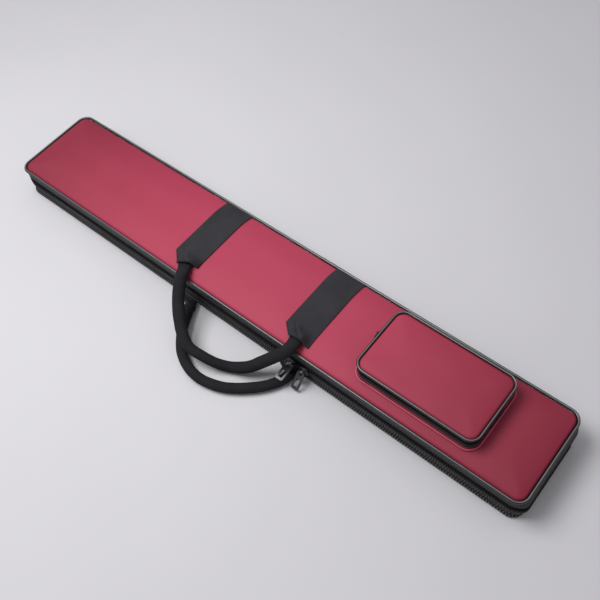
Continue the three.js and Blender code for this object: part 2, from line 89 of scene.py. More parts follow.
END_BELLY = 5 * MM  # how far the case's end walls belly out
END_BELLY_RUN = 14 * MM
PIPING_SEAMS = {"lid": -65 * MM, "base": 60 * MM}  # from the middle of the far side
PIPING_LAP = 40 * MM
WELT_RADIUS = 1.2 * MM

STRAP_THICKNESS = 1.5 * MM
LID_HANDLE_RADIUS = 8 * MM  # over the first stretch from each root
BASE_HANDLE_RADIUS = 6.9 * MM
HANDLE_MIDDLE_RADIUS = 6.5 * MM
ROOT_HEIGHT = 3 * MM  # half the thickness of a handle where it is sewn flat
ROOT_SINK = 4 * MM  # the lid's handle hangs this much lower where it leaves its strap
SINK_REACH = 15 * MM
LID_ROOT_Y = -43 * MM
BASE_ROOT_Y = -69.4 * MM
BASE_ROOT_SHIFTS = [-3 * MM, 1 * MM]  # how far the base's roots lean away along the case

HOOD_START_Y = -30 * MM  # the lid strap starts to rise over the handle's root here
HOOD_RISE = 12.5 * MM
HOOD_FLAT = 6 * MM
HOOD_FALL = 11 * MM

COIL_PITCH = 3 * MM
RIB_PITCH = 3.5 * MM  # of the corded nylon
POCKET_COIL_PITCH = 1.5 * MM
STITCH_PITCH = 3.2 * MM
STITCH_LENGTH = 0.62 * STITCH_PITCH
THREAD_RADIUS = 0.38 * MM

# The four corners of every cell in a grid of points, in order round the cell.
QUAD = [np.s_[:-1, :-1], np.s_[1:, :-1], np.s_[1:, 1:], np.s_[:-1, 1:]]

# The handles' courses, each point [x, reach, drop] in millimetres, measured outwards
# and down from the line that the handle swings about.
LID_HANDLE_COURSE = [
    [-86, 0, 0],
    [-80.5, 9.5, 0.5],
    [-76, 19.5, 3.5],
    [-69, 32.5, 10.5],
    [-60.5, 45, 18.5],
    [-48.5, 57.5, 26],
    [-35, 68.5, 32],
    [-17.5, 76.5, 37],
    [0.5, 75, 41.5],
    [20, 70, 48],
    [37.5, 61, 53.5],
    [59.5, 50, 44.5],
    [75, 36.5, 32.5],
    [85, 29, 23],
    [92.5, 25, 13.5],
    [100, 20, 4.5],
    [102, 10.5, 0.5],
    [99.5, 0, 0],
]
BASE_HANDLE_COURSE = [
    [-69.5, 0, 0],
    [-64.5, 10, 0],
    [-49.5, 37, 0],
    [-24.5, 61.5, 0],
    [7.5, 72, 0],
    [41.5, 66, 0],
    [68.5, 49.5, 0],
    [91.5, 26.5, 0],
    [101, 9, 0],
    [103, 0, 0],
]

# The near end of each lid strap is folded to a slanting line, given as y at points
# across the strap: its left edge, the fold's corner and its right edge.
LID_STRAP_ENDS = {
    "left": {"across": [-1, -0.2, 1], "y": [-40, -58, -45.5]},
    "right": {"across": [-1, -0.25, 1], "y": [-40, -55, -52]},
}

SWELL_FRAMES = 20  # of cloth simulation
FLOOR_REACH = 6.0
CAMERA_PLACE = Vector((0.44969, -0.3562, 0.85842))
CAMERA_TARGET = Vector((0.04059, 0.01926, 0))
CAMERA_ROLL = math.radians(-9.744)
CAMERA_LENS = 46.498


def joint_place(name):
    """A point on the joint's axis, in the frame."""
    joint = next(joint for joint in frame["joints"] if joint["name"] == name)
    return Vector(joint["pos_m"])


# ---------------------------------------------------------------- outlines


def smooth(value):
    """Eases from 0 to 1 as value goes from 0 to 1."""
    value = np.clip(value, 0, 1)
    return value * value * (3 - 2 * value)


def swelling(from_edge, height, run):
    """The height of a padded surface at a distance from its edge."""
    part = np.clip(from_edge / run, 0, 1)
    return height * (1 - (1 - part) ** 2)


def rumple(points, wavelength, seed, waves=9):
    """Smooth unevenness, about -1 to 1, the same on every run."""
    draw = np.random.default_rng(seed)
    directions = draw.normal(size=(waves, 3))
    directions /= np.linalg.norm(directions, axis=1)[:, None]
    lengths = wavelength * draw.uniform(0.7, 1.6, waves)
    phases = draw.uniform(0, 2 * math.pi, waves)
    angles = points @ (directions / lengths[:, None]).T * 2 * math.pi + phases
    return np.sin(angles).sum(axis=-1) / math.sqrt(waves)


class Rim:
    """A rounded rectangle seen from above, walked counter-clockwise from its right end."""

    def __init__(self, centre_x, half_length, half_width, radius):
        self.centre_x = centre_x
        self.half_length = half_length
        self.half_width = half_width
        self.radius = radius
        along = 2 * (half_length - radius)
        across = half_width - radius
        arc = radius * math.pi / 2
        legs = [(across, 0), (arc, 1), (along, 0), (arc, 1), (2 * across, 0)]
        legs += [(arc, 1), (along, 0), (arc, 1), (across, 0)]
        self.legs = []
        start, x, y, heading = 0.0, centre_x + half_length, 0.0, math.pi / 2
        for length, turns in legs:
            self.legs.append((start, length, x, y, heading, turns))
            end = self._on_leg(self.legs[-1], np.array([length]))
            start, x, y = start + length, end[0, 0], end[0, 1]
            heading += turns * math.pi / 2
        self.length = start

    def _on_leg(self, leg, distance):
        _, _, x, y, heading, turns = leg
        if turns:
            now = heading + distance / self.radius
            px = x + self.radius * (np.sin(now) - math.sin(heading))
            py = y - self.radius * (np.cos(now) - math.cos(heading))
        else:
            now = np.full_like(distance, heading)
            px = x + distance * math.cos(heading)
            py = y + distance * math.sin(heading)
        return np.stack([px, py, np.sin(now), -np.cos(now)], axis=-1)

    def walk(self, start, end, step):
        """Rows of x, y, outward x, outward y and distance walked."""
        walked = np.linspace(start, end, max(2, round((end - start) / step) + 1))
        place = np.mod(walked, self.length)
        rows = np.zeros((len(walked), 5))
        for leg in self.legs:
            on_it = (place >= leg[0]) & (place <= leg[0] + leg[1])
            rows[on_it, :4] = self._on_leg(leg, place[on_it] - leg[0])
        rows[:, 4] = walked
        return rows

    def whole(self, step):
        """All the way round, the last row just short of the first."""
        return self.walk(0, self.length, step)[:-1]

    def near_run(self, end_y, step):
        """From the left end, round the near side, to the right end."""
        return self.walk(self.length / 2 - end_y, self.length + end_y, step)

    def far_run(self, end_y, step):
        """From the right end, round the far side, to the left end."""
        return self.walk(end_y, self.length / 2 - end_y, step)

    def inside(self, inset):
        """The same outline pulled in."""
        radius = max(self.radius - inset, 2 * MM)
        return Rim(self.centre_x, self.half_length - inset, self.half_width - inset, radius)

    def inset_of(self, x, y):
        """How far inside the outline a point lies."""
        past_x = np.abs(x - self.centre_x) - (self.half_length - self.radius)
        past_y = np.abs(y) - (self.half_width - self.radius)
        outside = np.hypot(np.maximum(past_x, 0), np.maximum(past_y, 0))
        return self.radius - outside - np.minimum(np.maximum(past_x, past_y), 0)

    def filled(self, step):
        """x and y of a grid that fills the outline, finer towards its edge."""
        turn = np.linspace(0, math.pi / 2, 9)[:-1]
        edge = self.radius * (1 - np.cos(turn))
        flat = self.half_width - self.radius
        middle = np.linspace(-flat, flat, max(3, math.ceil(2 * flat / step) + 1))
        y = np.concatenate([edge - self.half_width, middle, (self.half_width - edge)[::-1]])
        past = np.clip(np.abs(y) - flat, 0, self.radius)
        reach = self.half_length - self.radius + np.sqrt(self.radius**2 - past**2)
        run = 2 * (self.half_length - self.radius)
        inner = np.linspace(-1, 1, max(3, math.ceil(run / step) + 1))
        x = np.stack(
            [
                np.concatenate([edge - end, inner * (end - self.radius), (end - edge)[::-1]])
                for end in reach
            ]
        )
        return x + self.centre_x, np.repeat(y[:, None], x.shape[1], axis=1)


def corner(node):
    """The highest corner of a CAD node, in the frame."""
    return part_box(node)[1]


def foot(node):
    """The lowest corner of a CAD node, in the frame."""
    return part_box(node)[0]


CASE_HALF = corner("lid_piping")
CASE_RIM = Rim(0, CASE_HALF.x, CASE_HALF.y, CASE_HALF.y - corner("end_pad_left").y)
POCKET_MIDDLE = (foot("pocket_gusset").x + corner("pocket_gusset").x) / 2
POCKET_HALF_LENGTH = corner("pocket_gusset").x - POCKET_MIDDLE
POCKET_RIM = Rim(POCKET_MIDDLE, POCKET_HALF_LENGTH, corner("pocket_gusset").y, POCKET_CORNER)
LID_EDGE_Z = corner("lid_panel").z - CROWN


def lid_height(x, y):
    """The crowned lid's surface."""
    from_edge = CASE_RIM.inset_of(x, y) - PANEL_INSET
    return LID_EDGE_Z + swelling(from_edge, CROWN, CROWN_RUN)


def pocket_inset(z):
    """How far the pocket's leaning wall stands in from its foot, at a height."""
    return POCKET_LEAN * (z - LID_EDGE_Z) / (POCKET_TOP - LID_EDGE_Z)


# ---------------------------------------------------------------- meshes


def finished(name, points, faces, corner_uvs, crease=50):
    """A smooth-shaded object whose normals point outwards."""
    mesh = bpy.data.meshes.new(name)
    mesh.from_pydata(points.tolist(), [], faces)
    layer = mesh.uv_layers.new(name=WEAVE)
    layer.data.foreach_set("uv", np.asarray(corner_uvs, float).ravel())
    work = bmesh.new()
    work.from_mesh(mesh)
    bmesh.ops.recalc_face_normals(work, faces=work.faces)
    work.to_mesh(mesh)
    work.free()
    mesh.shade_smooth()
    mesh.set_sharp_from_angle(angle=math.radians(crease))
    obj = bpy.data.objects.new(name, mesh)
    bpy.context.scene.collection.objects.link(obj)
    return obj


def travelled(steps):
    """Distance walked along a line, from the lengths of its steps."""
    return np.concatenate([[0], np.cumsum(steps)])


def loft(name, rows, closed=False, crease=50):
    """Joins rows of points, each a closed section, into one skin with capped ends."""
    count, sides = rows.shape[:2]
    index = np.arange(count * sides).reshape(count, sides)
    ring = np.concatenate([rows, rows[:, :1]], axis=1)
    table = np.concatenate([index, index[:, :1]], axis=1)
    if closed:
        ring = np.concatenate([ring, ring[:1]])
        table = np.concatenate([table, table[:1]])
    u = travelled(np.linalg.norm(np.diff(ring, axis=0), axis=2).mean(axis=1))
    v = travelled(np.linalg.norm(np.diff(ring, axis=1), axis=2).mean(axis=0))
    uv = np.stack(np.meshgrid(u, v, indexing="ij"), axis=-1)
    faces = np.stack([table[c] for c in QUAD], axis=-1).reshape(-1, 4).tolist()
    face_uv = np.stack([uv[c] for c in QUAD], axis=-2).reshape(-1, 2)
    if not closed:
        for end in (0, count - 1):
            faces.append(index[end].tolist())
            face_uv = np.concatenate([face_uv, uv[end, :-1]])
    return finished(name, rows.reshape(-1, 3), faces, face_uv, crease)


def swept(name, stations, inset, z, closed=False, crease=50):
    """Carries a section along a rim. inset and z give one value per section point,
    or one row of them per station."""
    count = len(stations)
    inset = np.broadcast_to(inset, (count, np.shape(inset)[-1]))
    z = np.broadcast_to(z, inset.shape)
    x = stations[:, 0:1] - stations[:, 2:3] * inset
    y = stations[:, 1:2] - stations[:, 3:4] * inset
    return loft(name, np.stack([x, y, z], axis=-1), closed, crease)


def band_section(outer, inner, low, high, bulge=0.0, levels=9, hem=0.5 * MM):
    """A soft strip's section: a bulging face with rounded hems, and a flat back."""
    part = np.linspace(0, 1, levels)
    rounded = hem * (np.abs(2 * part - 1) ** 6)
    face = outer - bulge * np.sin(math.pi * part) + rounded
    z = low + (high - low) * part
    return np.concatenate([face, [inner, inner]]), np.concatenate([z, [high, low]])


def bead_section(inset, z, radius, sides=12):
    """A round cord's section."""
    angle = np.linspace(0, 2 * math.pi, sides, endpoint=False)
    return inset - radius * np.cos(angle), z + radius * np.sin(angle)


def level(z):
    """A flat surface, for padded_panel."""
    return lambda x, y: z


def padded_panel(name, rim, step, bottom, top):
    """A closed pad that fills a rim. bottom and top give the height at x and y."""
    x, y = rim.filled(step)
    rows, columns = x.shape
    size = rows * columns
    low = np.stack([x, y, np.broadcast_to(bottom(x, y), x.shape)], axis=-1)
    high = np.stack([x, y, np.broadcast_to(top(x, y), x.shape)], axis=-1)
    points = np.concatenate([low.reshape(-1, 3), high.reshape(-1, 3)])
    index = np.arange(size).reshape(rows, columns)
    corners = [np.s_[:-1, :-1], np.s_[:-1, 1:], np.s_[1:, 1:], np.s_[1:, :-1]]
    sheet = np.stack([index[c] for c in corners], axis=-1).reshape(-1, 4)
    border = np.concatenate([index[0, :-1], index[:-1, -1], index[-1, :0:-1], index[:0:-1, 0]])
    after = np.roll(border, -1)
    wall = np.stack([border, after, after + size, border + size], axis=-1)
    faces = np.concatenate([sheet[:, ::-1], sheet + size, wall])
    uv = points[faces.ravel()][:, :2]
    return finished(name, points, faces.tolist(), uv)


def bolster(name, node, shrink, along):
    """A rounded foam block in the place of a CAD node, long in x or y."""
    low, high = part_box(node)
    middle = (low + high) / 2
    half = (high - low) / 2
    length, width = (half.x, half.y) if along == "x" else (half.y, half.x)
    angle = np.linspace(0, 2 * math.pi, 32, endpoint=False)
    squareness = 0.35
    across = np.sign(np.cos(angle)) * np.abs(np.cos(angle)) ** squareness
    upward = np.sign(np.sin(angle)) * np.abs(np.sin(angle)) ** squareness
    ends = np.array([0, 0.3, 1.0, 2.0, 3.4]) * MM
    step = 6 * MM
    run = np.arange(-length + step, length - step, step)
    place = np.concatenate([ends - length, run, (length - ends)[::-1]])
    from_end = length - np.abs(place)
    full = 1 - rolled_edge(from_end, 0.32, ends[-1])
    side = (width - shrink) * full[:, None] * across
    height = (half.z - shrink) * full[:, None] * upward
    far = np.broadcast_to(place[:, None], side.shape)
    plan = [far, side] if along == "x" else [side, far]
    rows = np.stack([*plan, height], axis=-1) + np.array(middle)
    return loft(name, rows, crease=70)


def points_of(obj):
    """The object's vertices as an array."""
    flat = np.zeros(len(obj.data.vertices) * 3)
    obj.data.vertices.foreach_get("co", flat)
    return flat.reshape(-1, 3)


def move_points(obj, points):
    """Gives the object's vertices new places."""
    obj.data.vertices.foreach_set("co", points.astype(np.float32).ravel())
    obj.data.update()


def stitches(name, stations, inset, z):
    """A row of thread stitches that lie on a wall, one short bead per pitch."""
    spans = round((stations[-1, 4] - stations[0, 4]) / STITCH_PITCH)
    chosen = np.linspace(0, len(stations) - 1, spans).round().astype(int)
    x, y, nx, ny = stations[chosen, :4].T
    centres = np.stack([x - nx * inset, y - ny * inset, np.full_like(x, z)], axis=-1)
    along = np.stack([-ny, nx, np.zeros_like(x)], axis=-1)
    out = np.stack([nx, ny, np.zeros_like(x)], axis=-1)
    up = np.cross(along, out)
    turn = np.linspace(0, 2 * math.pi, 6, endpoint=False)
    reach = np.array([-0.5, -0.36, 0, 0.36, 0.5]) * STITCH_LENGTH
    girth = np.array([0.25, 0.8, 1.0, 0.8, 0.25]) * THREAD_RADIUS
    ring = np.cos(turn)[:, None, None] * out + np.sin(turn)[:, None, None] * up
    ring = ring.transpose(1, 0, 2)
    rows = (
        centres[:, None, None]
        + reach[None, :, None, None] * along[:, None, None]
        + girth[None, :, None, None] * ring[:, None]
    )
    index = np.arange(len(reach) * len(turn)).reshape(len(reach), len(turn))
    around = np.concatenate([index, index[:, :1]], axis=1)
    quads = np.stack([around[c] for c in QUAD], axis=-1).reshape(-1, 4)
    faces = []
    for start in range(0, len(centres) * index.size, index.size):
        faces += (quads + start).tolist()
        faces += [(cap + start).tolist() for cap in (index[0], index[-1])]
    points = rows.reshape(-1, 3)
    uv = points[np.concatenate([np.array(face) for face in faces])][:, :2]
    return finished(name, points, faces, uv, crease=80)


def rolled_edge(from_edge, drop, run):
    """How far a pad's edge rolls down, at a distance from it."""
    return drop * np.clip(1 - from_edge / run, 0, 1) ** 2


def fill_out(obj):
    """Lets the case's end walls belly out between its two rounds of piping."""
    points = points_of(obj)
    reach = smooth((np.abs(points[:, 0]) - (CASE_HALF.x - END_BELLY_RUN)) / END_BELLY_RUN)
    level = np.sin(math.pi * np.clip(points[:, 2] / CASE_HALF.z, 0, 1))
    points[:, 0] += np.sign(points[:, 0]) * END_BELLY * reach * level
    move_points(obj, points)
    return obj


# ---------------------------------------------------------------- padding


def inflate(obj, held, cap, pressure):
    """Swells a closed piece by cloth simulation. held says where the cloth is sewn
    down. No point ends further than cap from where it was."""
    rest = points_of(obj)
    group = obj.vertex_groups.new(name="held")
    for weight in np.unique(held):
        group.add(np.flatnonzero(held == weight).tolist(), float(weight), "REPLACE")
    cloth = obj.modifiers.new("swell", "CLOTH")
    cloth.settings.quality = 5
    cloth.settings.mass = 0.3
    cloth.settings.tension_stiffness = 12
    cloth.settings.compression_stiffness = 12
    cloth.settings.shear_stiffness = 4
    cloth.settings.bending_stiffness = 0.4
    cloth.settings.use_pressure = True
    cloth.settings.uniform_pressure_force = pressure
    cloth.settings.vertex_group_mass = "held"
    cloth.settings.effector_weights.gravity = 0
    cloth.collision_settings.use_collision = False
    cloth.point_cache.frame_end = SWELL_FRAMES
    for frame_number in range(1, SWELL_FRAMES + 1):
        bpy.context.scene.frame_set(frame_number)
    graph = bpy.context.evaluated_depsgraph_get()
    swollen = points_of(obj.evaluated_get(graph))
    obj.modifiers.remove(cloth)
    obj.vertex_groups.remove(group)
    bpy.context.scene.frame_set(1)
    moved = swollen - rest
    distance = np.linalg.norm(moved, axis=1)[:, None]
    limited = cap * np.tanh(distance / cap)
    move_points(obj, rest + moved * limited / np.maximum(distance, 1e-9))


def subdivided(obj):
    """One level of subdivision, kept as part of the mesh."""
    modifier = obj.modifiers.new("fine", "SUBSURF")
    modifier.levels = 1
    modifier.render_levels = 1
    graph = bpy.context.evaluated_depsgraph_get()
    mesh = bpy.data.meshes.new_from_object(obj.evaluated_get(graph))
    obj.modifiers.clear()
    obj.data = mesh
    return obj


# ---------------------------------------------------------------- materials


class Shader:
    """A procedural material, built up node by node. The colour it starts from is the
    one that a viewer without the nodes shows."""

    def __init__(self, name, colour, roughness, **settings):
        self.material = bpy.data.materials.new(name)
        self.material.use_nodes = True
        self.tree = self.material.node_tree
        self.surface = self.tree.nodes["Principled BSDF"]
        self.surface.inputs["Base Color"].default_value = (*colour, 1)
        self.surface.inputs["Roughness"].default_value = roughness
        for setting, value in settings.items():
            self.surface.inputs[setting.replace("_", " ")].default_value = value

    def feed(self, socket, value):
        """Links a socket to an output, or sets its value."""
        if isinstance(value, bpy.types.NodeSocket):
            self.tree.links.new(value, socket)
        else:
            socket.default_value = value

    def add(self, kind, settings=None, **inputs):
        """A node of that kind with its settings and inputs."""
        node = self.tree.nodes.new("ShaderNode" + kind)
        for key, value in (settings or {}).items():
            setattr(node, key, value)
        for key, value in inputs.items():
            self.feed(node.inputs[key.replace("_", " ")], value)
        return node

    def sum(self, operation, first, second=0.0):
        """One step of arithmetic."""
        node = self.add("Math", {"operation": operation})
        self.feed(node.inputs[0], first)
        self.feed(node.inputs[1], second)
        return node.outputs[0]

    def cloth_place(self):
        """Place on the cloth, in metres along and across it."""
        return self.add("UVMap", {"uv_map": WEAVE}).outputs["UV"]

    def place(self):
        """Place in the frame, which stays with the piece as it moves."""
        return self.add("TexCoord").outputs["Object"]

    def noise(self, scale, detail=3.0, roughness=0.5):
        """Cloudy values from 0 to 1; scale is in features a metre."""
        settings = {"Vector": self.place(), "Scale": scale, "Detail": detail, "Roughness": roughness}
        return self.add("TexNoise", **settings).outputs["Fac"]

    def waves(self, value, pitch):
        """A sine that repeats every pitch metres."""
        return self.sum("SINE", self.sum("MULTIPLY", value, 2 * math.pi / pitch))

    def weave(self, pitch_along, pitch_across):
        """The height of a plain weave, threads over and under each other."""
        axes = self.add("SeparateXYZ", Vector=self.cloth_place())
        along = self.waves(axes.outputs["X"], pitch_along)
        across = self.waves(axes.outputs["Y"], pitch_across)
        crossed = self.sum("MULTIPLY", along, across)
        return self.sum("ADD", self.sum("MULTIPLY", crossed, 0.5), 0.5)

    def blended(self, factor, first, second):
        """A colour from first to second as factor goes from 0 to 1."""
        node = self.add("ValToRGB", Fac=factor)
        node.color_ramp.elements[0].color = (*first, 1)
        node.color_ramp.elements[1].color = (*second, 1)
        return node.outputs["Color"]

    def between(self, value, low, high):
        """0 below low, 1 above high, even between."""
        node = self.add("MapRange", Value=value)
        node.inputs["From Min"].default_value = low
        node.inputs["From Max"].default_value = high
        return node.outputs["Result"]

    def mixed(self, factor, first, second):
        """Two colours, either of which may come from another node."""
        node = self.add("Mix", {"data_type": "RGBA"})
        self.feed(node.inputs["Factor"], factor)
        self.feed(node.inputs[6], first if isinstance(first, bpy.types.NodeSocket) else (*first, 1))
        self.feed(node.inputs[7], second if isinstance(second, bpy.types.NodeSocket) else (*second, 1))
        return node.outputs[2]

    def colour(self, socket):
        """Takes the surface's colour from a node."""
        self.feed(self.surface.inputs["Base Color"], socket)

    def mottle(self, first, second, *cloud):
        """Takes the surface's colour from clouds of two colours."""
        self.colour(self.blended(self.noise(*cloud), first, second))

    def bump(self, height, distance, strength=1.0, after=None):
        """Raises the surface by height times distance metres, on top of another bump."""
        node = self.add("Bump", Height=height, Distance=distance, Strength=strength)
        if after is not None:
            self.feed(node.inputs["Normal"], after.outputs["Normal"])
        self.feed(self.surface.inputs["Normal"], node.outputs["Normal"])
        return node

    def grain(self, scale, detail, distance, strength):
        """Raises a fine random grain."""
        return self.bump(self.noise(scale, detail), distance, strength)


def red_fabric(name, depth=1.0):
    """Coated Oxford cloth in a plain weave, with painted shade between its threads and towards its ends;
    depth below 1 paints shade over all of it.
    """
    shader = Shader(name, (0.4, 0.034, 0.076), 0.62, Specular_IOR_Level=0.3)
    threads = shader.weave(0.9 * MM, 0.9 * MM)
    cloudy = shader.noise(9, 4)
    middle = shader.blended(cloudy, (0.37, 0.036, 0.076), (0.46, 0.05, 0.1))
    # painted shade: the cloth is drawn darker towards both ends of the case
    ends = shader.blended(cloudy, (0.2, 0.015, 0.034), (0.26, 0.022, 0.047))
    axes = shader.add("SeparateXYZ", Vector=shader.place())
    from_middle = shader.sum("ABSOLUTE", axes.outputs["X"])
    base = shader.mixed(shader.between(from_middle, 0.13, 0.38), middle, ends)
    # painted shade in the hollows between the threads of the weave
    shaded = shader.mixed(shader.between(threads, -0.6, 0.8), (0.2, 0.012, 0.03), base)
    # depth below 1 mixes painted shade, near black, over the whole piece
    shader.colour(shader.mixed(depth, (0.05, 0.002, 0.007), shaded))
    coarse = shader.grain(260, 2, 0.12 * MM, 0.35)
    shader.bump(threads, 0.12 * MM, 0.5, coarse)
    return shader.material


def red_vinyl():
    """The welt's vinyl, brighter and shinier than the cloth."""
    shader = Shader("red_vinyl", (0.5, 0.05, 0.1), 0.4)
    shader.mottle((0.36, 0.036, 0.075), (0.48, 0.058, 0.11), 60, 4)
    shader.grain(900, 3, 0.05 * MM, 0.4)
    return shader.material


def charcoal_fabric():
    """The walls' charcoal nylon."""
    shader = Shader("charcoal_nylon", (0.03, 0.03, 0.036), 0.7, Specular_IOR_Level=0.3)
    threads = shader.weave(0.7 * MM, 0.7 * MM)
    shader.mottle((0.017, 0.017, 0.021), (0.03, 0.03, 0.036), 30, 4)
    shader.bump(threads, 0.1 * MM, 0.5)
    return shader.material


def ribbed_fabric():
    """Corded nylon: upright ribs side by side, with painted shade in the grooves between them."""
    shader = Shader("ribbed_nylon", (0.06, 0.06, 0.062), 0.6, Specular_IOR_Level=0.3)
    axes = shader.add("SeparateXYZ", Vector=shader.cloth_place())
    ribs = shader.waves(axes.outputs["X"], RIB_PITCH)
    wear_and_highlight_noise = shader.noise(60, 4)
    crest = shader.blended(wear_and_highlight_noise, (0.045, 0.045, 0.047), (0.085, 0.084, 0.085))
    # painted shade: the grooves between the ribs are drawn near black
    shader.colour(shader.mixed(shader.between(ribs, -0.3, 0.5), (0.003, 0.003, 0.0035), crest))
    grain = shader.grain(1200, 2, 0.06 * MM, 0.4)
    shader.bump(ribs, 0.5 * MM, 0.8, grain)
    return shader.material


def tape_fabric():
    """Zip tape: black polyester in a fine herringbone."""
    shader = Shader("zip_tape", (0.014, 0.014, 0.017), 0.8, Specular_IOR_Level=0.3)
    axes = shader.add("SeparateXYZ", Vector=shader.cloth_place())
    zigzag = shader.sum("PINGPONG", axes.outputs["Y"], 1.2 * MM)
    slanted = shader.sum("ADD", axes.outputs["X"], zigzag)
    shader.bump(shader.waves(slanted, 0.8 * MM), 0.1 * MM, 0.6)
    shader.mottle((0.02, 0.02, 0.024), (0.034, 0.034, 0.039), 60)
    return shader.material


def webbing():
    """Polyester webbing: rows of coarse ribs across it, with fine grain."""
    shader = Shader("webbing", (0.024, 0.024, 0.028), 0.8, Specular_IOR_Level=0.2)
    threads = shader.weave(2.2 * MM, 1.3 * MM)
    cloudy = shader.noise(45, 4)
    base = shader.blended(cloudy, (0.02, 0.0195, 0.023), (0.04, 0.039, 0.045))
    # painted shade in the hollows between the threads
    shader.colour(shader.mixed(shader.between(threads, -0.7, 0.7), (0.008, 0.008, 0.01), base))
    fine = shader.grain(1500, 2, 0.08 * MM, 0.5)
    shader.bump(threads, 0.22 * MM, 0.7, fine)
    return shader.material


def handle_fabric():
    """The handles' napped cloth, slightly fuzzy."""
    shader = Shader("handle_cloth", (0.014, 0.014, 0.016), 0.9, Specular_IOR_Level=0.15)
    shader.mottle((0.009, 0.0088, 0.0105), (0.02, 0.0195, 0.023), 55, 5, 0.6)
    nap = shader.bump(shader.noise(900, 3, 0.7), 0.25 * MM, 0.5)
    shader.bump(shader.weave(0.9 * MM, 0.9 * MM), 0.1 * MM, 0.35, nap)
    return shader.material


def piping_vinyl(name, radius):
    """Glossy black vinyl round a cord of that radius, with a painted highlight along its crest."""
    shader = Shader(name, (0.012, 0.012, 0.013), 0.3, Coat_Weight=0.4, Coat_Roughness=0.2)
    axes = shader.add("SeparateXYZ", Vector=shader.cloth_place())
    crest = radius * math.pi / 2
    from_crest = shader.sum("ABSOLUTE", shader.sum("SUBTRACT", axes.outputs["Y"], crest))
    wear_and_highlight_noise = shader.noise(90, 4)
    # painted highlight: a pale band along the cord's crest, its brightness varied by the noise that also
    # varies the roughness
    pale = shader.blended(wear_and_highlight_noise, (0.1, 0.105, 0.11), (0.2, 0.21, 0.215))
    black = (0.006, 0.0062, 0.007)
    off_crest = shader.between(from_crest, 0.05 * radius, 0.4 * radius)
    shader.colour(shader.mixed(off_crest, pale, black))
    grain = shader.grain(700, 3, 0.06 * MM, 0.5)
    shader.bump(shader.waves(axes.outputs["X"], STITCH_PITCH), 0.05 * MM, 0.4, grain)
    shader.feed(shader.surface.inputs["Roughness"], shader.between(wear_and_highlight_noise, -0.6, 2.2))
    return shader.material


def zip_coil():
    """The coils' black nylon."""
    shader = Shader("zip_coil", (0.004, 0.004, 0.005), 0.6, Specular_IOR_Level=0.1)
    shader.grain(1200, 2, 0.05 * MM, 0.4)
    shader.mottle((0.002, 0.002, 0.0025), (0.005, 0.005, 0.006), 40, 4)
    return shader.material


def plush():
    """Short dark pile over foam."""
    shader = Shader("plush", (0.03, 0.031, 0.035), 0.95, Sheen_Weight=0.6, Sheen_Roughness=0.6)
    pile = shader.noise(900, 4, 0.7)
    shader.mottle((0.022, 0.023, 0.027), (0.05, 0.051, 0.056), 35, 3)
    shader.bump(pile, 0.5 * MM, 0.7)
    return shader.material


def thread():
    """Twisted polyester thread."""
    shader = Shader("thread", (0.01, 0.01, 0.012), 0.6, Sheen_Weight=0.1)
    twist = shader.add("SeparateXYZ", Vector=shader.place())
    slanted = shader.sum("ADD", twist.outputs["X"], twist.outputs["Z"])
    shader.bump(shader.waves(slanted, 0.5 * MM), 0.08 * MM, 0.6)
    shader.mottle((0.007, 0.007, 0.009), (0.016, 0.016, 0.019), 300)
    return shader.material


def polished_metal():
    """Black nickel plate, bright but handled."""
    shader = Shader("gunmetal", (0.1, 0.1, 0.11), 0.22, Metallic=1.0)
    scratches = shader.noise(900, 5, 0.7)
    shader.feed(shader.surface.inputs["Roughness"], shader.between(scratches, -1.0, 2.8))
    shader.mottle((0.055, 0.056, 0.062), (0.16, 0.16, 0.17), 140)
    shader.bump(scratches, 0.02 * MM, 0.4)
    return shader.material


def painted_metal():
    """Black enamel over cast zinc."""
    shader = Shader("black_enamel", (0.012, 0.012, 0.013), 0.35, Coat_Weight=0.4)
    shader.grain(600, 3, 0.03 * MM, 0.5)
    shader.mottle((0.009, 0.009, 0.01), (0.02, 0.02, 0.022), 200)
    return shader.material


def paper_floor():
    """Pale, faintly mottled backdrop paper."""
    shader = Shader("pale_paper", (0.66, 0.655, 0.67), 0.85)
    shader.mottle((0.535, 0.525, 0.546), (0.575, 0.565, 0.588), 4, 3)
    shader.grain(400, 2, 0.05 * MM, 0.2)
    return shader.material


RED = red_fabric("red_oxford")
# the red cloth with painted shade over all of it, for the pocket's wall
PAINTED_SHADE_RED = red_fabric("painted_shade_red_oxford", 0.55)
RED_VINYL = red_vinyl()
CHARCOAL = charcoal_fabric()
TAPE = tape_fabric()
WEBBING = webbing()
HANDLE = handle_fabric()
RIBBED = ribbed_fabric()
LID_VINYL = piping_vinyl("lid_vinyl", PIPING_RADIUS)
POCKET_VINYL = piping_vinyl("pocket_vinyl", POCKET_PIPING_RADIUS)
COIL = zip_coil()
PLUSH = plush()
THREAD = thread()
GUNMETAL = polished_metal()
ENAMEL = painted_metal()


# ---------------------------------------------------------------- panels and walls


def clad(obj, material, slot, *nodes):
    """Gives a piece its material and hides the CAD nodes it stands for. slot is not used."""
    obj.data.materials.clear()
    obj.data.materials.append(material)
    if nodes:
        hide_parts(*nodes)


def rumpled(obj, free, depth, wavelength, seed):
    """Raises and lowers a pad's free cloth a little."""
    points = points_of(obj)
    points[:, 2] += free * depth * rumple(points, wavelength, seed)
    move_points(obj, points)


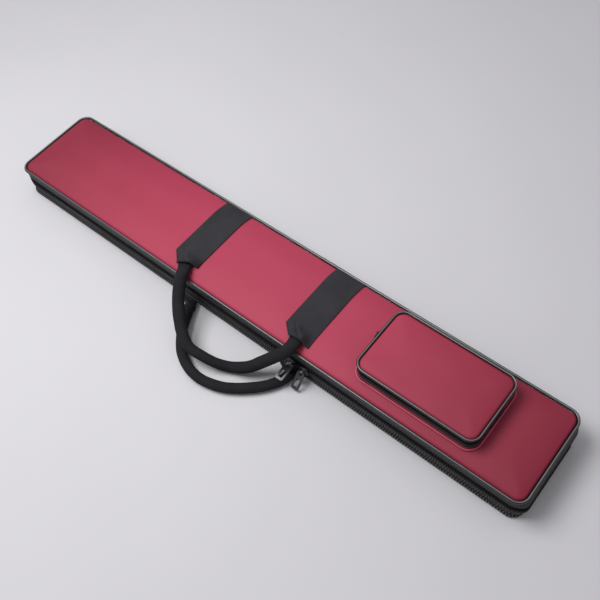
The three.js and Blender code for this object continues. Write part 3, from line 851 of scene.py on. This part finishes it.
def lid_cover():
    """The lid's padded top, drawn down under its straps and its pocket."""
    rim = CASE_RIM.inside(PANEL_INSET)
    bottom = foot("lid_panel").z

    def top(x, y):
        rolled = rolled_edge(rim.inset_of(x, y), 1.7 * MM, 2.5 * MM)
        return lid_height(x, y) - rolled - 0.2 * MM

    obj = padded_panel("lid_cover", rim, 5 * MM, level(bottom), top)
    x, y, z = points_of(obj).T
    held = (z <= bottom + 0.1 * MM) | (rim.inset_of(x, y) < 4 * MM)
    held |= POCKET_RIM.inset_of(x, y) > -4 * MM
    for node in ("lid_strap_left", "lid_strap_right"):
        held |= (x > foot(node).x - MM) & (x < corner(node).x + MM)
    inflate(obj, held, cap=1.1 * MM, pressure=3.0)
    rumpled(obj, 1 - held.astype(float), 0.35 * MM, 100 * MM, 3)
    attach(subdivided(obj), "lid")
    clad(obj, RED, "red_fabric", "lid_panel")


def base_cover():
    """The underside: flat where it rests, let up over the straps that cross it."""
    rim = CASE_RIM.inside(PANEL_INSET)
    strap_top = corner("base_strap_left").z + FIT
    ramp = 2.5 * MM

    def bottom(x, y):
        lift = np.zeros_like(x)
        for node in ("base_strap_left", "base_strap_right"):
            beside = np.maximum(foot(node).x - x, x - corner(node).x)
            lift = np.maximum(lift, strap_top * (1 - smooth(beside / ramp)))
        past_end = smooth((y - corner("base_strap_left").y) / ramp)
        return np.maximum(rolled_edge(rim.inset_of(x, y), 1.2 * MM, 3 * MM), lift * (1 - past_end))

    obj = padded_panel("base_cover", rim, ramp, bottom, level(corner("base_panel").z))
    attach(obj, "base")
    clad(obj, RED, "red_fabric", "base_panel")


def near_wall(half, material, low, high, seed):
    """The wall between a zip and the piping, its face faintly wavy."""
    run = CASE_RIM.near_run(ZIP_END_Y, 4 * MM)
    inset, z = band_section(WALL_OUTER, WALL_INNER, low, high, bulge=0.5 * MM)
    along = np.stack([run[:, 4]] * len(inset), axis=1)
    probe = np.stack([along, np.broadcast_to(z, along.shape), np.zeros_like(along)], axis=-1)
    wave = 0.14 * MM * rumple(probe, 50 * MM, seed)
    wave[:, 0] = 0
    wave[:, -3:] = 0  # the hem, and the wall's flat back
    obj = fill_out(swept(f"{half}_gusset", run, inset - wave, z))
    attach(obj, half)
    clad(obj, material, "charcoal_fabric", f"{half}_gusset")


def hinge_fabric():
    """One cloth wall round the far side, from the base's piping to the lid's."""
    run = CASE_RIM.far_run(ZIP_END_Y + FIT, 4 * MM)
    low, high = foot("base_back_gusset").z, corner("lid_back_gusset").z
    inset, z = band_section(WALL_OUTER, WALL_INNER, low, high, bulge=0.2 * MM, levels=33)
    back = np.linspace(high, low, 31)
    inset = np.concatenate([inset[:-2], np.full_like(back, WALL_INNER)])
    z = np.concatenate([z[:-2], back])
    obj = fill_out(swept("hinge_fabric", run, inset, z))
    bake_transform(obj)
    clad(obj, CHARCOAL, "charcoal_fabric", "base_back_gusset", "lid_back_gusset")


def hinge_binding():
    """The binding sewn over the inside of the hinge, from the base into the lid."""
    low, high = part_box("hinge_tape")
    run = np.arange(low.x, high.x + 2.5 * MM, 5 * MM)
    levels = np.linspace(low.z + MM, joint_place("lid_hinge").z + 14 * MM, 15)
    outer = np.full_like(levels, high.y)
    inner = np.full_like(levels, low.y + 0.2 * MM)
    inner[[0, -1]] = (high.y + low.y) / 2
    y = np.concatenate([outer, inner[::-1]])
    z = np.concatenate([levels, levels[::-1]])
    obj = loft("hinge_binding", np.stack(np.broadcast_arrays(run[:, None], y, z), axis=-1))
    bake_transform(obj)
    clad(obj, TAPE, "charcoal_fabric", "hinge_tape")


def piping(name, rim, node, seed, seam=math.inf):
    """A closed round of piping, a little fuller where its ends are lapped at a seam."""
    low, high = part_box(node)
    radius = (high.z - low.z) / 2
    centre_inset = (rim.half_width - high.y) + radius
    stations = rim.whole(2.5 * MM)
    inset, z = bead_section(0, 0, 1)
    walked = stations[:, 4]
    lapped = smooth((PIPING_LAP / 2 - np.abs(walked - seam)) / (3 * MM))
    probe = np.stack([walked, np.zeros_like(walked), np.zeros_like(walked)], axis=-1)
    fullness = radius * (0.97 + 0.025 * rumple(probe, 20 * MM, seed) + 0.12 * lapped)
    inset = centre_inset + inset * fullness[:, None]
    z = (low.z + high.z) / 2 + z * fullness[:, None]
    return swept(name, stations, inset, z, closed=True)


def case_piping(half):
    """The piping round the lid or round the base."""
    seam = CASE_RIM.length / 4 + PIPING_SEAMS[half]
    obj = piping(f"{half}_piping_cord", CASE_RIM, f"{half}_piping", 7, seam)
    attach(obj, half)
    cover = LID_VINYL if half == "lid" else RIBBED
    clad(obj, cover, "piping_vinyl", f"{half}_piping")


# ---------------------------------------------------------------- zips


def open_and_sewn(node, open_below):
    """The heights of a zip half's open edge and of its sewn edge."""
    low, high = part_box(node)
    return (low.z, high.z) if open_below else (high.z, low.z)


def coil_chain(name, rim, end_y, free, fixed, pitch, phase, face, back, lean=np.zeros_like):
    """Half of a zip's coils: ribs across the chain, whose tips interlock with the
    other half's. free and fixed are the heights of its open edge and its sewn edge."""
    stations = rim.near_run(end_y, pitch / 6)
    depth = 0.3 * pitch
    turn = 2 * math.pi * (stations[:, 4:5] / pitch) + phase
    crest = np.sqrt(np.abs(np.cos(turn / 2)))
    across = np.array([0, 0.12, 0.45, 0.8, 1.0])
    round_off = np.array([0.7, 0.15, 0, 0.15, 0.75]) * depth
    tip = free + (1 if fixed < free else -1) * pitch / 6 * np.cos(turn)
    z = tip + (fixed - tip) * across
    inset = face + round_off + depth * (1 - crest)
    back_z = np.concatenate([np.full_like(turn, fixed), np.full_like(turn, free)], axis=1)
    z = np.concatenate([z, back_z], axis=1)
    inset = np.concatenate([inset, np.full_like(back_z, back)], axis=1)
    return swept(name, stations, inset + lean(z), z, crease=80)


def case_zip(half):
    """The tape and the coils of one half of the main zip."""
    in_lid = half == "lid"
    part_z, hem = open_and_sewn(f"{half}_zip_tape", in_lid)
    if in_lid:
        hem += HEM_DROP
    run = CASE_RIM.near_run(ZIP_END_Y - FIT, 4 * MM)
    section = band_section(TAPE_FACE, WALL_INNER, *sorted((part_z, hem)), hem=0.2 * MM)
    tape = fill_out(swept(f"{half}_tape", run, *section))
    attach(tape, half)
    clad(tape, TAPE, "charcoal_fabric", f"{half}_zip_tape")
    free, fixed = open_and_sewn(f"{half}_zip_chain", in_lid)
    free += (-0.2 if in_lid else 0.2) * MM
    end = corner(f"{half}_zip_chain")
    face, back = CASE_HALF.x - end.x, TAPE_FACE - 0.1 * MM
    phase = 0 if in_lid else math.pi
    obj = coil_chain(f"{half}_coils", CASE_RIM, end.y, free, fixed, COIL_PITCH, phase, face, back)
    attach(fill_out(obj), half)
    clad(obj, COIL if in_lid else RIBBED, "zip_chain", f"{half}_zip_chain")


def hem_stitches():
    """Rows of thread along the hems beside the main zip."""
    run = CASE_RIM.near_run(ZIP_END_Y - 2 * MM, 0.4 * MM)
    lid_hem = corner("lid_zip_tape").z + HEM_DROP + 1.6 * MM
    base_hem = corner("base_gusset").z - 1.4 * MM
    for half, hem, proud in (("lid", lid_hem, 0.35 * MM), ("base", base_hem, 0.3 * MM)):
        row = stitches(f"{half}_hem_stitches", run, WALL_OUTER - proud, hem)
        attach(fill_out(row), half)
        clad(row, THREAD, "charcoal_fabric")


def end_tabs():
    """The folded tab that closes each end of the main zip."""
    for side in ("left", "right"):
        node = f"zip_end_tab_{side}"
        obj = bolster(f"end_tab_{side}", node, shrink=0, along="y")
        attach(fill_out(obj), "base")
        clad(obj, WEBBING, "webbing", node)


# ---------------------------------------------------------------- the pocket


def pocket_band(name, stations, low, high, bulge, seed, depth):
    """A strip of the pocket's wall. low may differ from station to station. The strip
    closes on itself when its stations go all the way round."""
    closed = stations[-1, 4] - stations[0, 4] > POCKET_RIM.length - 10 * MM
    section_inset, part = band_section(0, 2 * MM, 0, 1, bulge=bulge, hem=0.3 * MM)
    z = np.reshape(low, (-1, 1)) * (1 - part) + high * part
    z = np.broadcast_to(z, (len(stations), len(part)))
    x = np.broadcast_to(stations[:, 0:1], z.shape)
    y = np.broadcast_to(stations[:, 1:2], z.shape)
    fade = np.sin(math.pi * part)
    fade[-2:] = 0
    wave = depth * rumple(np.stack([x, y, 1.6 * z], axis=-1), 30 * MM, seed) * fade
    return swept(name, stations, section_inset + pocket_inset(z) - wave, z, closed)


def pocket_walls():
    """The red wall below the pocket's zip, and behind it up to the top."""
    wall_top = corner("pocket_gusset").z - POCKET_TAPE_EXTRA
    stations = POCKET_RIM.whole(3 * MM)
    ground = lid_height(stations[:, 0], stations[:, 1]) + FIT
    wall = pocket_band("pocket_wall", stations, ground, wall_top, 0.7 * MM, 11, 0.3 * MM)
    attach(wall, "lid")
    # the wall below the pocket's zip is drawn in the red cloth with painted shade over it
    clad(wall, PAINTED_SHADE_RED, "red_fabric", "pocket_gusset")
    low, high = wall_top + FIT, corner("pocket_back_gusset").z
    run = POCKET_RIM.far_run(POCKET_FOLD_Y + FIT, 3 * MM)
    back = pocket_band("pocket_back_wall", run, low, high, 0.5 * MM, 12, 0.25 * MM)
    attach(back, "lid")
    clad(back, RED, "red_fabric", "pocket_back_gusset")


def pocket_welt():
    """The thin red cord sewn round the pocket's foot."""
    stations = POCKET_RIM.whole(2 * MM)
    ground = lid_height(stations[:, 0], stations[:, 1]) + WELT_RADIUS + FIT
    inset, z = bead_section(-WELT_RADIUS - FIT, 0, WELT_RADIUS, sides=10)
    obj = swept("pocket_welt_cord", stations, inset, ground[:, None] + z, closed=True)
    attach(obj, "lid")
    clad(obj, RED_VINYL, "red_fabric", "pocket_welt")


def pocket_zip(name, body, node):
    """The tape and coils of one half of the pocket's zip."""
    end_y = POCKET_FOLD_Y - FIT
    in_lid = body == "lid"
    low, high = foot(f"{node}_tape").z, corner(f"{node}_tape").z
    if in_lid:
        low -= POCKET_TAPE_EXTRA
    section_inset, part = band_section(0.3 * MM, 1.4 * MM, 0, 1, hem=0.1 * MM)
    z = low + (high - low) * part
    run = POCKET_RIM.near_run(end_y, 3 * MM)
    tape = swept(f"{name}_tape", run, section_inset + pocket_inset(z), z)
    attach(tape, body)
    clad(tape, TAPE, "charcoal_fabric", f"{node}_tape")
    free, fixed = open_and_sewn(f"{node}_chain", not in_lid)
    pitch, phase = POCKET_COIL_PITCH, 0 if in_lid else math.pi
    face, back = -0.9 * MM, 0.25 * MM
    obj = coil_chain(
        f"{name}_coils", POCKET_RIM, end_y, free, fixed, pitch, phase, face, back, lean=pocket_inset
    )
    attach(obj, body)
    clad(obj, COIL, "zip_chain", f"{node}_chain")


def pocket_cover():
    """The pocket's padded top, as one panel."""
    panel_inset = POCKET_HALF_LENGTH - (corner("pocket_flap_panel").x - POCKET_MIDDLE)
    rim = POCKET_RIM.inside(panel_inset)
    bottom = foot("pocket_flap_panel").z
    edge = corner("pocket_flap_panel").z - POCKET_CROWN

    def top(x, y):
        from_edge = rim.inset_of(x, y)
        rolled = rolled_edge(from_edge, 1.6 * MM, 2.2 * MM)
        return edge + swelling(from_edge, POCKET_CROWN, POCKET_CROWN_RUN) - rolled - 0.8 * MM

    obj = padded_panel("pocket_cover", rim, 3.5 * MM, level(bottom), top)
    x, y, z = points_of(obj).T
    from_edge = rim.inset_of(x, y)
    held = (z <= bottom + 0.1 * MM) | (from_edge < 2.5 * MM)
    inflate(obj, held, cap=1.2 * MM, pressure=4.0)
    free = (1 - held.astype(float)) * smooth(from_edge / (12 * MM))
    rumpled(obj, free, 0.6 * MM, 50 * MM, 21)
    subdivided(obj)
    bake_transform(obj)
    clad(obj, RED, "red_fabric", "pocket_flap_panel", "pocket_top_strip")


def pocket_piping():
    """The piping round the pocket's top."""
    obj = piping("pocket_piping_cord", POCKET_RIM, "pocket_back_piping", 31)
    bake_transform(obj)
    clad(obj, POCKET_VINYL, "piping_vinyl", "pocket_back_piping", "pocket_flap_piping")


# ---------------------------------------------------------------- straps and handles


def centripetal(points, count):
    """A smooth line through points, evenly spaced along its length."""
    points = np.asarray(points, float)
    ends = [2 * points[0] - points[1], 2 * points[-1] - points[-2]]
    line = np.concatenate([[ends[0]], points, [ends[1]]])
    fine = []
    for start in range(len(points) - 1):
        p0, p1, p2, p3 = line[start : start + 4]
        gaps = [math.sqrt(np.linalg.norm(b - a)) for a, b in ((p0, p1), (p1, p2), (p2, p3))]
        t0, t1, t2, t3 = travelled(gaps)
        t = np.linspace(t1, t2, 24, endpoint=False)[:, None]
        a1 = (t1 - t) / (t1 - t0) * p0 + (t - t0) / (t1 - t0) * p1
        a2 = (t2 - t) / (t2 - t1) * p1 + (t - t1) / (t2 - t1) * p2
        a3 = (t3 - t) / (t3 - t2) * p2 + (t - t2) / (t3 - t2) * p3
        b1 = (t2 - t) / (t2 - t0) * a1 + (t - t0) / (t2 - t0) * a2
        b2 = (t3 - t) / (t3 - t1) * a2 + (t - t1) / (t3 - t1) * a3
        fine.append((t2 - t) / (t2 - t1) * b1 + (t - t1) / (t2 - t1) * b2)
    fine = np.concatenate([*fine, points[-1:]])
    walked = travelled(np.linalg.norm(np.diff(fine, axis=0), axis=1))
    even = np.linspace(0, walked[-1], count)
    return np.stack([np.interp(even, walked, fine[:, axis]) for axis in range(3)], axis=-1)


def handle_course(pivot, course, roots, sink=0.0):
    """The handle's middle line, run back under its strap at each root. It is lowered
    by sink where it leaves the strap."""
    points = []
    for x, reach, drop in np.array(course) * MM:
        lowered = drop + sink * max(0, 1 - reach / SINK_REACH)
        points.append([x, pivot.y - reach, pivot.z - lowered])
    return np.array([roots[0], *points, roots[1]])


def handle_sleeve(half, line, root_radius):
    """The handle's soft tube: flattened at its roots, slimmer in the middle, with a
    sewn seam along its underside."""
    count = 260
    centre = centripetal(line, count)
    direction = np.gradient(centre, axis=0)
    direction /= np.linalg.norm(direction, axis=1)[:, None]
    side = np.cross(direction, [0, 0, 1.0])
    side /= np.linalg.norm(side, axis=1)[:, None]
    up = np.cross(side, direction)
    walked = travelled(np.linalg.norm(np.diff(centre, axis=0), axis=1))
    from_root = np.minimum(walked, walked[-1] - walked)
    slim = smooth((from_root - 70 * MM) / (90 * MM))
    radius = root_radius + (HANDLE_MIDDLE_RADIUS - root_radius) * slim
    opened = smooth(from_root / (30 * MM))
    tall = ROOT_HEIGHT + (radius - ROOT_HEIGHT) * opened
    wide = radius * (1.12 - 0.12 * opened)
    angle = np.linspace(0, 2 * math.pi, 36, endpoint=False)
    from_seam = np.abs((angle - 1.5 * math.pi + math.pi) % (2 * math.pi) - math.pi)
    ridge = 0.05 * np.exp(-(((from_seam - 0.24) / 0.12) ** 2)) - 0.07 * np.exp(-((from_seam / 0.1) ** 2))
    around = 12 * MM * np.cos(angle), 12 * MM * np.sin(angle)
    probe = np.stack(np.broadcast_arrays(walked[:, None], *around), axis=-1)
    swell = 1 + ridge + 0.012 * rumple(probe, 16 * MM, 41) + 0.012 * rumple(probe, 50 * MM, 42)
    across = (wide[:, None] * swell * np.cos(angle))[..., None] * side[:, None]
    upward = (tall[:, None] * swell * np.sin(angle))[..., None] * up[:, None]
    obj = loft(f"{half}_handle_cloth", centre[:, None] + across + upward)
    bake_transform(obj)
    clad(obj, HANDLE, "webbing", f"{half}_handle_sleeve", f"{half}_handle_core")


def lid_handle():
    """The handle sewn to the lid's straps."""
    roots = []
    for x in (LID_HANDLE_COURSE[0][0] * MM, LID_HANDLE_COURSE[-1][0] * MM):
        roots.append([x, LID_ROOT_Y, lid_height(x, LID_ROOT_Y) + 3.7 * MM])
    line = handle_course(joint_place("lid_handle_swing"), LID_HANDLE_COURSE, roots, ROOT_SINK)
    handle_sleeve("lid", line, LID_HANDLE_RADIUS)


def base_handle():
    """The handle sewn to the base's straps."""
    ends = BASE_HANDLE_COURSE[0][0], BASE_HANDLE_COURSE[-1][0]
    roots = [[x * MM + shift, BASE_ROOT_Y, 4.6 * MM] for x, shift in zip(ends, BASE_ROOT_SHIFTS)]
    line = handle_course(joint_place("base_handle_swing"), BASE_HANDLE_COURSE, roots)
    handle_sleeve("base", line, BASE_HANDLE_RADIUS)


def selvedge(across):
    """Webbing's fullness, 1 but thinner at the edges, where across is -1 and 1."""
    return 1 - 0.35 * smooth((np.abs(across) - 0.9) / 0.1)


def draped(x, root_x, strength):
    """The rise of webbing that lies over the handle's root."""
    beside = (np.abs(x - root_x) - HOOD_FLAT) / HOOD_FALL
    return HOOD_RISE * strength * (1 - smooth(beside))


def lid_strap(side, root_x):
    """Webbing across the lid, whose folded near end drapes over the handle's root."""
    node = f"lid_strap_{side}"
    low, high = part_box(node)
    centre_x = (low.x + high.x) / 2
    half_width = (high.x - low.x) / 2
    across = np.linspace(-1, 1, 33)
    x = centre_x + half_width * across
    fold = LID_STRAP_ENDS[side]
    end_y = np.interp(across, fold["across"], np.array(fold["y"]) * MM)
    flat = [np.full_like(x, y) for y in np.arange(high.y, HOOD_START_Y, -3 * MM)]
    down = np.linspace(0, 1, 30)
    hood = [HOOD_START_Y + part * (end_y - HOOD_START_Y) for part in down]
    rows = []
    for part, y in zip([0] * len(flat) + list(down), flat + hood):
        floor = lid_height(np.full_like(x, centre_x), y) + FIT + draped(x, root_x, smooth(part))
        lip = 1 + 0.7 * math.exp(-(((part - 0.95) / 0.04) ** 2))
        thickness = STRAP_THICKNESS * selvedge(across) * lip * (0.35 if part >= 1 else 1)
        over = np.stack([x, y, floor + thickness], axis=-1)
        under = np.stack([x, y, floor], axis=-1)
        rows.append(np.concatenate([over, under[::-1]]))
    rows = creased(np.array(rows), len(flat), centre_x, half_width)
    obj = loft(f"strap_{side}", rows, crease=60)
    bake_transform(obj)
    clad(obj, WEBBING, "webbing", node)


def creased(rows, first, centre_x, half_width):
    """Presses a slanting fold into the strap's narrowed end."""
    hood = rows[first:]
    down = np.linspace(0, 1, len(hood))[:, None]
    across = (hood[..., 0] - centre_x) / half_width
    from_fold = across - (-0.75 + 1.25 * down)
    pressed = 1.3 * MM * np.exp(-((from_fold / 0.13) ** 2))
    lifted = 0.7 * MM * np.exp(-(((from_fold - 0.26) / 0.13) ** 2))
    strength = smooth(down / 0.2) * smooth((0.95 - down) / 0.2)
    hood[..., 2] += (lifted - pressed) * strength
    return rows


def strap_section(centre_x, half_width, rise, roundness, thickness):
    """One cross-section of webbing, arched by rise over its middle."""
    across = np.linspace(-1, 1, 25)
    arch = rise * (1 - np.abs(across) ** roundness) ** (1 / roundness)
    inner_half = half_width - min(thickness, rise * 0.5)
    outer = np.stack([centre_x + half_width * across, arch + thickness * selvedge(across)], axis=-1)
    inner = np.stack([centre_x + inner_half * across, arch], axis=-1)
    return np.concatenate([outer, inner[::-1]])


def base_strap(side, root_x):
    """Webbing under the base, which comes out from beneath it into the handle's root."""
    node = f"base_strap_{side}"
    low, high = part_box(node)
    centre_x = (low.x + high.x) / 2
    hood_start, hood_end = low.y + 2 * MM, low.y - 13 * MM
    flat = np.arange(high.y, hood_start, -3 * MM)
    rows = []
    for y in np.concatenate([flat, np.linspace(hood_start, hood_end, 20)]):
        part = np.clip((y - hood_start) / (hood_end - hood_start), 0, 1)
        half_width = (high.x - low.x) / 2 - 14 * MM * smooth(part)
        x = centre_x + (root_x - centre_x) * smooth(part)
        crest = 10.5 * MM * smooth((part - 0.15) / 0.85)
        thickness = STRAP_THICKNESS * (0.35 if part >= 1 else 1)
        section = strap_section(x, half_width, crest, 3 - part, thickness)
        rows.append(np.insert(section, 1, y, axis=1))
    obj = loft(f"under_strap_{side}", np.array(rows), crease=60)
    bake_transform(obj)
    clad(obj, WEBBING, "webbing", node)


# ---------------------------------------------------------------- inside


def liner(half):
    """The quilted plush against the lid or the base."""
    node = f"{half}_liner"
    low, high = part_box(node)
    swell = 0.8 * MM
    backing, face = (low.z, high.z - swell) if half == "base" else (high.z, low.z + swell)
    rim = CASE_RIM.inside(CASE_HALF.x - high.x)
    obj = padded_panel(f"{half}_padding", rim, 6 * MM, *map(level, sorted((backing, face))))
    x, y, z = points_of(obj).T
    held = (np.abs(z - backing) < 0.1 * MM) | (rim.inset_of(x, y) < 3 * MM)
    inflate(obj, held, cap=swell, pressure=3.0)
    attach(subdivided(obj), half)
    clad(obj, PLUSH, "plush_lining", node)


def foam_block(name, node, along):
    """A plush-covered foam wall inside the base."""
    obj = bolster(name, node, shrink=0.5 * MM, along=along)
    seated = points_of(obj)[:, 2] < foot(node).z + 2 * MM
    inflate(obj, seated, cap=0.5 * MM, pressure=4.0)
    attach(obj, "base")
    clad(obj, PLUSH, "plush_lining", node)


# ---------------------------------------------------------------- hardware


def cast_metal(node, material, slot, edge):
    """Keeps a CAD node's shape, and gives it softened edges and a finish."""
    obj = frame["nodes"][node]
    clad(obj, material, slot)
    soften = obj.modifiers.new("soften", "BEVEL")
    soften.width = edge
    soften.segments = 2
    soften.limit_method = "ANGLE"
    soften.angle_limit = math.radians(40)


# ---------------------------------------------------------------- the scene


def build_case():
    """Every piece of the case."""
    lid_cover()
    base_cover()
    lid_low = corner("lid_zip_tape").z + HEM_DROP + FIT
    near_wall("lid", CHARCOAL, lid_low, corner("lid_gusset").z, 5)
    near_wall("base", RIBBED, foot("base_gusset").z, corner("base_gusset").z, 6)
    hinge_fabric()
    hinge_binding()
    for half in ("lid", "base"):
        case_piping(half)
        case_zip(half)
        liner(half)
    hem_stitches()
    end_tabs()
    foam_block("channel_wall_near", "divider_near", "x")
    foam_block("channel_wall_far", "divider_far", "x")
    foam_block("end_cushion_left", "end_pad_left", "y")
    foam_block("end_cushion_right", "end_pad_right", "y")


def build_pocket():
    """The pocket on the lid."""
    pocket_walls()
    pocket_welt()
    pocket_zip("pocket_lower", "lid", "pocket_zip")
    pocket_zip("pocket_upper", "pocket_flap", "pocket_flap_zip")
    pocket_cover()
    pocket_piping()


def build_carrying():
    """Straps, handles and the zips' metal."""
    for index, side in ((0, "left"), (-1, "right")):
        lid_strap(side, LID_HANDLE_COURSE[index][0] * MM)
        base_strap(side, BASE_HANDLE_COURSE[index][0] * MM)
        cast_metal(f"zip_slider_{side}", GUNMETAL, "gunmetal", 0.5 * MM)
        cast_metal(f"zip_pull_{side}", GUNMETAL, "gunmetal", 0.35 * MM)
    cast_metal("pocket_zip_slider", ENAMEL, "black_metal", 0.3 * MM)
    cast_metal("pocket_zip_pull", ENAMEL, "black_metal", 0.25 * MM)
    lid_handle()
    base_handle()


def camera():
    """The camera, level but for a small roll."""
    back = (CAMERA_PLACE - CAMERA_TARGET).normalized()
    right = Vector((0, 0, 1)).cross(back).normalized()
    up = back.cross(right)
    turned_right = right * math.cos(CAMERA_ROLL) + up * math.sin(CAMERA_ROLL)
    turned_up = up * math.cos(CAMERA_ROLL) - right * math.sin(CAMERA_ROLL)
    data = bpy.data.cameras.new("camera")
    data.lens = CAMERA_LENS
    data.clip_start = 0.01
    data.clip_end = 50
    obj = bpy.data.objects.new("camera", data)
    axes = Matrix((turned_right, turned_up, back)).transposed()
    obj.matrix_world = Matrix.Translation(CAMERA_PLACE) @ axes.to_4x4()
    bpy.context.scene.collection.objects.link(obj)
    bpy.context.scene.camera = obj


def soft_box(name, place, target, size, power):
    """A square studio light that points at a target."""
    data = bpy.data.lights.new(name, "AREA")
    data.energy = power
    data.size = size
    obj = bpy.data.objects.new(name, data)
    obj.location = place
    obj.rotation_euler = (Vector(target) - Vector(place)).to_track_quat("-Z", "Y").to_euler()
    bpy.context.scene.collection.objects.link(obj)


def studio():
    """A pale floor, a pale sky and soft light from above."""
    mesh = bpy.data.meshes.new("floor")
    corners = [(-1, -1), (1, -1), (1, 1), (-1, 1)]
    mesh.from_pydata([(FLOOR_REACH * x, FLOOR_REACH * y, 0) for x, y in corners], [], [range(4)])
    floor = bpy.data.objects.new("floor", mesh)
    floor.location.z = -0.2 * MM
    bpy.context.scene.collection.objects.link(floor)
    floor.data.materials.append(paper_floor())
    world = bpy.data.worlds.new("studio")
    world.use_nodes = True
    sky = world.node_tree.nodes["Background"]
    sky.inputs["Color"].default_value = (0.93, 0.93, 0.96, 1)
    sky.inputs["Strength"].default_value = 0.4
    bpy.context.scene.world = world
    soft_box("key", (-0.42, -0.3, 1.3), (-0.08, -0.05, 0), 0.8, 18.5)
    soft_box("fill", (0.2, 0.6, 1.9), (0.1, 0, 0), 1.4, 3)
    bpy.context.scene.view_settings.view_transform = "Standard"


build_case()
build_pocket()
build_carrying()
camera()
studio()
